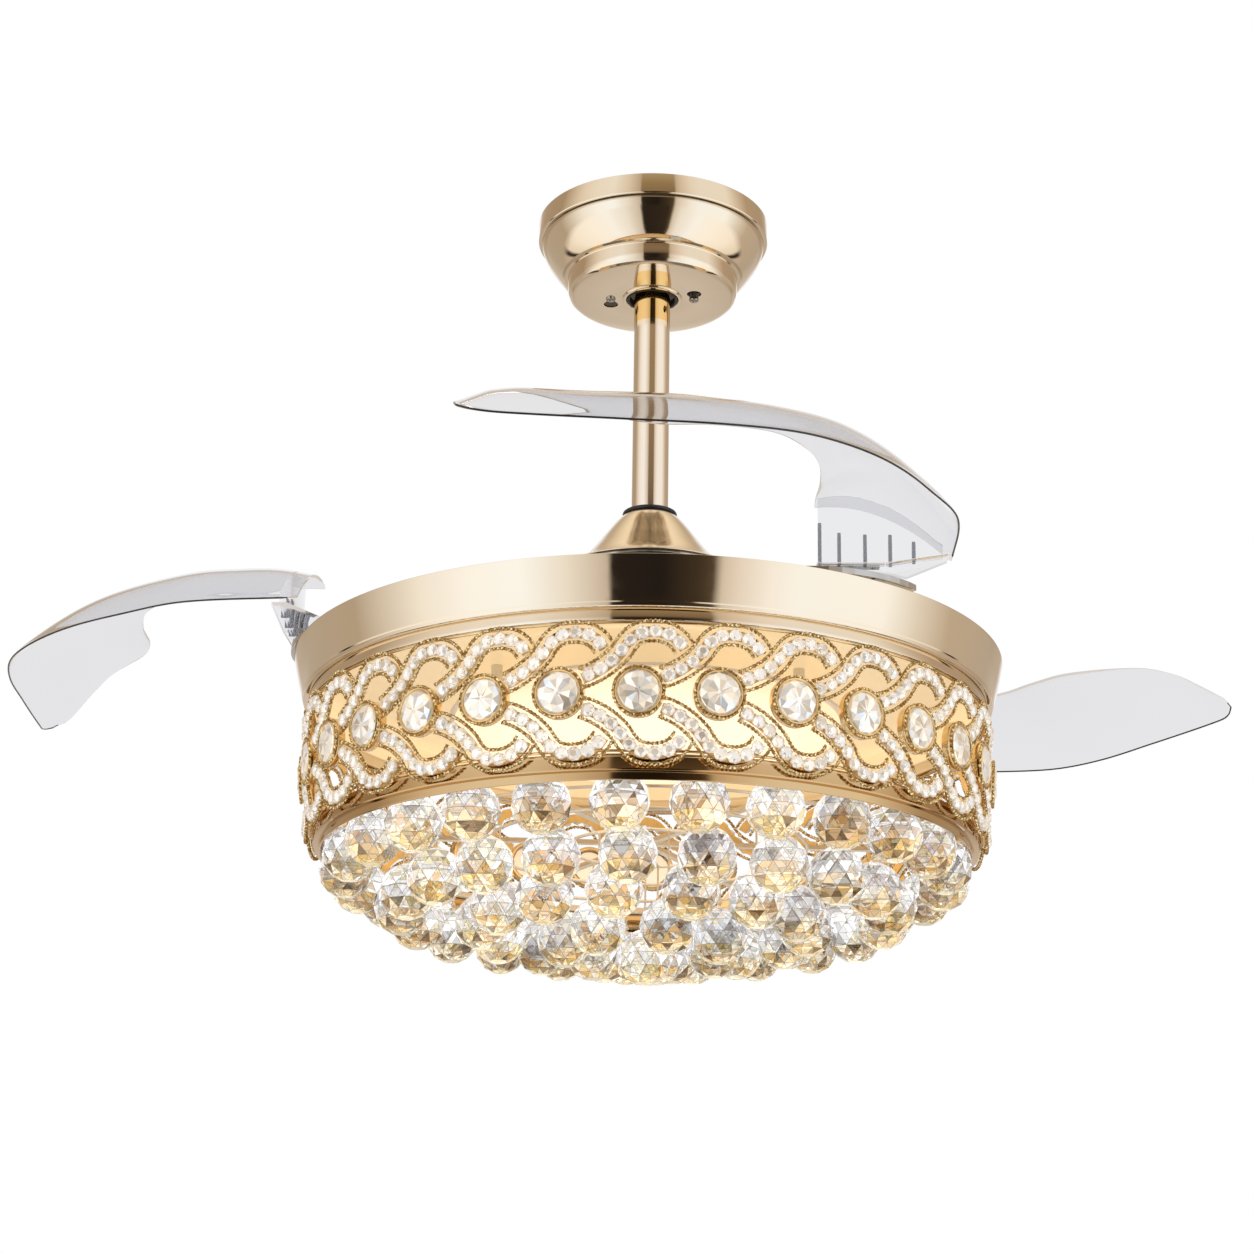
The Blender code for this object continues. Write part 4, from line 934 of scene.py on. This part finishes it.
def blade_piece(k):
    spans, chords = 72, 18
    bm = bmesh.new()
    vs = [0.5 - 0.5 * math.cos(math.pi * (0.10 + 0.90 * i / spans)) for i in range(spans + 1)]
    vs = [(v - vs[0]) / (1 - vs[0]) for v in vs]
    rows = []
    for v in vs:
        row = []
        for j in range(chords + 1):
            t = 0.5 - 0.5 * math.cos(math.pi * j / chords)
            p = blade_point(v, t)
            row.append(bm.verts.new((p.x * MM, p.y * MM, D(p.z) * MM)))
        rows.append(row)
    for i in range(spans):
        for j in range(chords):
            bm.faces.new((rows[i][j], rows[i][j + 1], rows[i + 1][j + 1], rows[i + 1][j]))
    sheet = loose("sheet", bm)
    thick = sheet.vertex_groups.new(name="thick")
    for i in range(spans + 1):
        for j in range(chords + 1):
            inset = min(j, chords - j, (spans - i) * 0.8)
            thick.add([i * (chords + 1) + j], 0.36 if inset < 0.5 else 0.6 if inset < 1.5 else 0.8, "REPLACE")
    s = sheet.modifiers.new("thick", "SOLIDIFY")
    s.thickness = BLADE_T * MM * 0.97
    s.vertex_group = "thick"
    s.thickness_vertex_group = 0.0
    s.offset = 0.0
    s.use_rim = True
    s.material_offset_rim = 1
    sheet.data.materials.append(M["blade"])
    sheet.data.materials.append(M["blade_edge"])
    modified(sheet)
    outer = [Vector(along(OUTER_EDGE, v / 120)[:2]) for v in range(121)]
    inner = [Vector(along(INNER_EDGE, v / 120)[:2]) for v in range(121)]
    for face in sheet.data.polygons:  # only the outer edge keeps the painted dark rim
        if face.material_index == 1:
            c = face.center.xy / MM
            if c.y > -204 or min((c - q).length for q in inner) < min((c - q).length for q in outer):
                face.material_index = 0
    sheet.data.transform(on_blade(k))
    shade(sheet, 50)
    sheet.name = "blade_%d_sheet" % k
    sheet.visible_glossy = False
    settle(sheet, BODY[k], "blade_%d" % k)

    # A near-black tube along the outer edge: the painted dark edge line.
    bm = bmesh.new()
    rim = catmull([Vector(along(OUTER_EDGE, 0.02 + 0.98 * v / 60)) for v in range(61)], 2)
    tube(bm, [Vector((q.x, q.y, D(q.z))) * MM for q in rim], 0.62, 6)
    obj = finish_mesh("blade_%d_edge" % k, bm, M["edge_line"], 60, None)
    obj.data.transform(on_blade(k))
    obj.visible_glossy = False
    settle(obj, BODY[k], "blade_%d" % k)

    def under(x, y):
        return min(((abs(q.x - x) + 2 * abs(q.y - y), q.z) for q in (blade_point(v / 300, t / 50) for v in range(0, 36) for t in range(51))), key=lambda w: w[0])[1]

    bm = bmesh.new()
    slab(bm, [(106.5, -201), (150, -201), (150, -214.9), (106.5, -214)], D(5.3), D(8.3))
    foot = slab(bm, [(150, -201), (166, -184), (190, -206), (190, -216), (150, -214.9)], D(5.3), D(8.3))
    for v in foot:
        v.co.z += max(0.0, v.co.x / MM - 150.0) * 0.15 * MM
    xs = [107.6 + 79.4 * i / 16 for i in range(17)]
    tops = [under(x, -209.8) - 0.8 for x in xs]
    base = [8.0 + max(0.0, x - 150.0) * 0.15 for x in xs]
    for y0, y1 in ((-211.0, -208.8),):
        lo = [[bm.verts.new((x * MM, y * MM, D(b) * MM)) for x, b in zip(xs, base)] for y in (y0, y1)]
        hi = [[bm.verts.new((x * MM, y * MM, D(t) * MM)) for x, t in zip(xs, tops)] for y in (y0, y1)]
        for i in range(16):
            bm.faces.new((lo[0][i], lo[0][i + 1], hi[0][i + 1], hi[0][i]))
            bm.faces.new((lo[1][i], hi[1][i], hi[1][i + 1], lo[1][i + 1]))
            bm.faces.new((hi[0][i], hi[0][i + 1], hi[1][i + 1], hi[1][i]))
            bm.faces.new((lo[0][i + 1], lo[0][i], lo[1][i], lo[1][i + 1]))
        for i in (0, 16):
            bm.faces.new((lo[0][i], hi[0][i], hi[1][i], lo[1][i]))
    obj = finish_mesh("blade_%d_root" % k, bm, M["foot"], 30, None)
    bevelled(obj, 0.35, 2)
    obj.data.transform(on_blade(k))
    obj.visible_glossy = False
    settle(obj, BODY[k], "blade_%d" % k)

    bm = bmesh.new()
    for x, top in ROOT_RIBS:
        low_z = 7.8 + max(0.0, x - 150.0) * 0.15
        pts = [(-213.0, low_z), (-206.8, low_z), (-207.6, top - 2.0), (-208.8, top), (-211.0, top), (-212.4, top - 2.0)]
        a = [bm.verts.new(((x - 1.1) * MM, y * MM, D(z) * MM)) for y, z in pts]
        c = [bm.verts.new(((x + 1.1) * MM, y * MM, D(z) * MM)) for y, z in pts]
        bm.faces.new(a)
        bm.faces.new(list(reversed(c)))
        for j in range(6):
            bm.faces.new((a[j], a[(j + 1) % 6], c[(j + 1) % 6], c[j]))
    obj = finish_mesh("blade_%d_ribs" % k, bm, M["rib"], 30, None)
    bevelled(obj, 0.3, 2)
    obj.data.transform(on_blade(k))
    obj.visible_glossy = False
    settle(obj, BODY[k], "blade_%d" % k)


for k in (1, 2, 3):
    blade_piece(k)


# ---------------------------------------------------------------- motor covers, disc, caps and holders


turned("motor_cover_top", dz([(12, 66), (21, 66), (22.2, 60), (24.5, 56.4), (60, 52.2), (72, 50), (72, 36.2), (95, 35.5), (95, 32.8), (68.4, 32.8), (68.4, 47), (17.3, 53.2), (17.3, 64), (12, 64)]),
       M["motor"], "rotor", 96, 0.9, "rotor_top_cover")
turned("motor_cover_bottom", dz([(95, 32.5), (95, 29.8), (72, 29.2), (72, -1.7), (12, -1.7), (12, 11.2), (17.3, 11.2), (17.3, 20.5), (21, 20.5), (21, 1.7), (68.4, 1.7), (68.4, 32.5)]),
       M["motor"], "rotor", 96, 0.5, "rotor_bottom_cover")
bm = bmesh.new()
for n in range(8):
    a = math.radians(45 * n + 22.5)
    at = (84 * math.cos(a), 84 * math.sin(a))
    screw_head(bm, at[0], at[1], D(35.4), 3.6, 2.4, down=False, steps=20)
    slab(bm, circle(at[0], at[1], 3.0, 6), D(27.0), D(30.0))
finish_mesh("motor_cover_bolts", bm, M["screw"], 30, "rotor", "rotor_top_cover")


def disc():
    obj = turned("rotor_disc", dz([(30, -2.0), (186, -2.0), (186, -5.5), (30, -5.5)]), M["dark_metal"], None, 160, 0.5)
    tools = []
    for n in range(3):
        a = math.radians(8.7 + 120 * n)
        bm = bmesh.new()
        slab(bm, circle(130 * math.cos(a), 130 * math.sin(a), 26, 64), D(-15), D(20))
        tools.append(loose("hole", bm))
    cut_by(obj, *tools)
    settle(obj, "rotor", "blade_disc")


disc()
for k in (1, 2, 3):
    at = Matrix.Rotation(math.radians(TURN[k]), 4, "Z") @ Matrix.Translation((PIVOT[0] * MM, PIVOT[1] * MM, 0))
    bm = turned_bm(rounded(dz([(0, 21.3), (13.2, 21.3), (14.5, 20.0), (14.5, 18.3), (0, 18.3)]), 0.6), 64, matrix=at)
    spot = at.translation / MM
    screw_head(bm, spot.x, spot.y, D(21.2), 4.6, 2.6, down=False)
    finish_mesh("pivot_lid_%d" % k, bm, M["zinc"], 32, "rotor", "pivot_cap_%d" % k)


# ---------------------------------------------------------------- finishes of the CAD nodes that stay


KEEP = {
    "hanger_bracket": "zinc", "receiver": "dark_plastic", "hanger_ball": "steel", "downrod_cross_pin": "steel", "motor_lead": "red_wire",
    "yoke": "zinc", "yoke_pin": "steel", "yoke_set_screw": "steel", "motor_shaft": "steel", "stator": "core", "upper_bearing": "steel", "lower_bearing": "steel",
    "led_driver": "white_plastic", "led_board": "lit_board", "lamp_nut": "zinc", "crystal_frame": "pale_wire",
    "magnet_ring": "magnet",
}
for k in (1, 2, 3):
    KEEP.update({"pivot_shaft_%d" % k: "steel", "return_spring_%d" % k: "steel", "blade_holder_%d" % k: "holder", "blade_clamp_plate_%d" % k: "zinc"})
for name, key in KEEP.items():
    node = NODES[name]
    node.data.materials.clear()
    node.data.materials.append(M[key])


# ---------------------------------------------------------------- floor, light and camera


def floor():
    bm = bmesh.new()
    n = 48
    rings = [(0.0, 0.0)] + [(6.0 * (i / n), 0.0) for i in range(1, n + 1)]
    verts = [[bm.verts.new((r * math.cos(2 * math.pi * k / 64), r * math.sin(2 * math.pi * k / 64), -2.6)) for k in range(64)] if r else [bm.verts.new((0, 0, -2.6))] for r, _ in rings]
    for k in range(64):
        bm.faces.new((verts[0][0], verts[1][k], verts[1][(k + 1) % 64]))
    for i in range(1, n):
        for k in range(64):
            bm.faces.new((verts[i][k], verts[i + 1][k], verts[i + 1][(k + 1) % 64], verts[i][(k + 1) % 64]))
    me = bpy.data.meshes.new("floor")
    bm.to_mesh(me)
    bm.free()
    obj = bpy.data.objects.new("floor", me)
    SCENE.collection.objects.link(obj)
    me.materials.append(plastic("pale_floor", (0.86, 0.86, 0.86), 0.6, 0.02, 40.0, 0.99))
    obj.visible_glossy = False
    obj.visible_transmission = False


floor()


def studio():
    w = bpy.data.worlds.new("studio")
    SCENE.world = w
    w.use_nodes = True
    g = Graph(w.node_tree)
    out = g.node("ShaderNodeOutputWorld")
    direction = g.node("ShaderNodeTexCoord").outputs["Generated"]
    xyz = g.node("ShaderNodeSeparateXYZ", {"Vector": direction})
    x, y, z = (xyz.outputs[i] for i in range(3))
    back = g.node("ShaderNodeMath", {0: y, 1: -1.0}, operation="MULTIPLY").outputs[0]
    azimuth = g.node("ShaderNodeMath", {0: x, 1: back}, operation="ARCTAN2").outputs[0]
    place = g.span(azimuth, -math.pi, math.pi, 0.0, 1.0)

    def at(deg):
        return 0.5 + deg / 360.0

    ring = g.ramp(place, [(0.0, (0.415, 0.386, 0.365)), (at(-140), (0.26, 0.225, 0.185)), (at(-104), (0.255, 0.213, 0.168)), (at(-88), (0.40, 0.38, 0.35)), (at(-75), (0.52, 0.52, 0.515)),
                          (at(-58), (0.57, 0.60, 0.64)), (at(-40), (0.57, 0.62, 0.68)), (at(-25), (0.48, 0.475, 0.465)), (at(-12.6), (0.33, 0.295, 0.26)), (at(-11.4), (0.012, 0.009, 0.007)),
                          (at(4), (0.009, 0.007, 0.006)), (at(16), (0.030, 0.021, 0.013)), (at(20.4), (0.050, 0.035, 0.022)), (at(21.6), (0.36, 0.33, 0.29)), (at(27), (0.45, 0.42, 0.40)), (at(38), (0.54, 0.55, 0.57)),
                          (at(48), (0.56, 0.60, 0.65)), (at(78), (0.56, 0.59, 0.62)), (at(93), (0.42, 0.40, 0.37)), (at(108), (0.296, 0.248, 0.20)), (at(140), (0.26, 0.225, 0.185)), (1.0, (0.415, 0.386, 0.365))])
    sky = g.span(z, -1.0, 1.0, 0.0, 1.0)
    lift = g.ramp(sky, [(0.0, (0.44, 0.37, 0.27)), (0.022, (0.36, 0.27, 0.17)), (0.036, (0.0, 0.0, 0.0)), (0.59, (0.0, 0.0, 0.0)), (0.63, (0.13, 0.10, 0.07)), (0.75, (0.20, 0.155, 0.09)), (0.87, (0.34, 0.29, 0.22)), (0.95, (0.52, 0.47, 0.39)), (1.0, (0.60, 0.54, 0.45))])
    under = [(151, (0.20, 0.165, 0.13)), (124, (0.31, 0.265, 0.22)), (121, (0.02, 0.014, 0.01)), (117.5, (0.02, 0.014, 0.01)), (114, (0.46, 0.42, 0.37)), (95, (0.56, 0.54, 0.51)), (70, (0.58, 0.585, 0.58)),
             (50, (0.57, 0.60, 0.64)), (30, (0.50, 0.50, 0.50))]
    core = [(at(-14), (0.36, 0.33, 0.295)), (at(-12), (0.012, 0.009, 0.007)), (at(16), (0.02, 0.014, 0.009)), (at(20), (0.05, 0.035, 0.022)), (at(22), (0.38, 0.35, 0.31))]
    below = g.ramp(place, [(0.0, (0.34, 0.31, 0.28))] + [(at(-d), c) for d, c in under] + core + [(at(d), c) for d, c in reversed(under)] + [(1.0, (0.34, 0.31, 0.28))])
    ring = g.mix(g.ramp(sky, [(0.0, 1.0), (0.33, 1.0), (0.385, 0.0)]), ring, below)
    room = g.mix(1.0, ring, lift, "LIGHTEN")
    room = g.mix(1.0, room, g.ramp(sky, [(0.0, 0.9), (0.12, 1.0), (0.585, 1.0), (0.62, (0.84, 0.76, 0.68)), (0.75, (0.86, 0.78, 0.68)), (0.88, (0.84, 0.78, 0.70)), (1.0, (1.0, 0.95, 0.88))]), "MULTIPLY")
    behind = g.mix(1.0, g.ramp(place, [(0.0, 1.0), (at(-165), 1.0), (at(-156), 0.0), (at(156), 0.0), (at(165), 1.0), (1.0, 1.0)]), g.ramp(sky, [(0.0, 0.0), (0.56, 0.0), (0.60, 1.0), (0.80, 1.0), (0.84, 0.0)]), "MULTIPLY")
    room = g.mix(behind, room, (0.47, 0.47, 0.48))
    room_bg = g.node("ShaderNodeBackground", {"Color": room, "Strength": 2.05})
    white_bg = g.node("ShaderNodeBackground", {"Color": (1, 1, 1, 1), "Strength": 1.0})
    seen = g.ramp(g.span(z, -1.0, 1.0, 0.0, 1.0), [(0.0, 0.86), (0.12, 0.88), (0.30, 0.90), (0.46, 0.92), (0.50, 0.98), (0.72, 0.99), (0.80, 0.62), (0.88, 0.22), (1.0, 0.40)])
    through_bg = g.node("ShaderNodeBackground", {"Color": seen, "Strength": 1.0})
    path = g.node("ShaderNodeLightPath")
    a = g.node("ShaderNodeMixShader", {0: path.outputs["Is Transmission Ray"], 1: room_bg.outputs[0], 2: through_bg.outputs[0]})
    b = g.node("ShaderNodeMixShader", {0: path.outputs["Is Camera Ray"], 1: a.outputs[0], 2: white_bg.outputs[0]})
    w.node_tree.links.new(b.outputs[0], out.inputs["Surface"])


studio()


def area(name, place, aim, size, power, colour=(1, 1, 1)):
    light = bpy.data.lights.new(name, "AREA")
    light.shape = "RECTANGLE"
    light.size, light.size_y = size
    light.energy = power
    light.color = colour
    obj = bpy.data.objects.new(name, light)
    obj.location = place
    obj.rotation_euler = (Vector(aim) - Vector(place)).to_track_quat("-Z", "Y").to_euler()
    obj.visible_camera = False
    obj.visible_glossy = False
    SCENE.collection.objects.link(obj)


area("softbox_left", (-2.3, -1.6, 0.1), (0, 0, -0.4), (0.9, 1.6), 26)
area("softbox_right", (2.3, -1.6, 0.1), (0, 0, -0.4), (0.9, 1.6), 26)
area("softbox_top", (0.3, 1.2, 1.8), (0, 0, -0.4), (1.6, 1.2), 22)

cam_data = bpy.data.cameras.new("camera")
cam_data.lens = 75.61
cam_data.sensor_width = 36.0
cam_data.clip_start = 0.05
cam_data.clip_end = 50.0
camera = bpy.data.objects.new("camera", cam_data)
right, up, fw = Vector((0.99989669, 0.00395364, 0.01381919)), Vector((-0.01184807, -0.31761848, 0.94814457)), Vector((-0.00813785, 0.94821035, 0.31753882))
m = Matrix((right, up, -fw)).transposed().to_4x4()
m.translation = Vector((0.0, -1.7877, -0.9168))
camera.matrix_world = m
SCENE.collection.objects.link(camera)
SCENE.camera = camera
SCENE.view_settings.view_transform = "Standard"
SCENE.view_settings.look = "None"

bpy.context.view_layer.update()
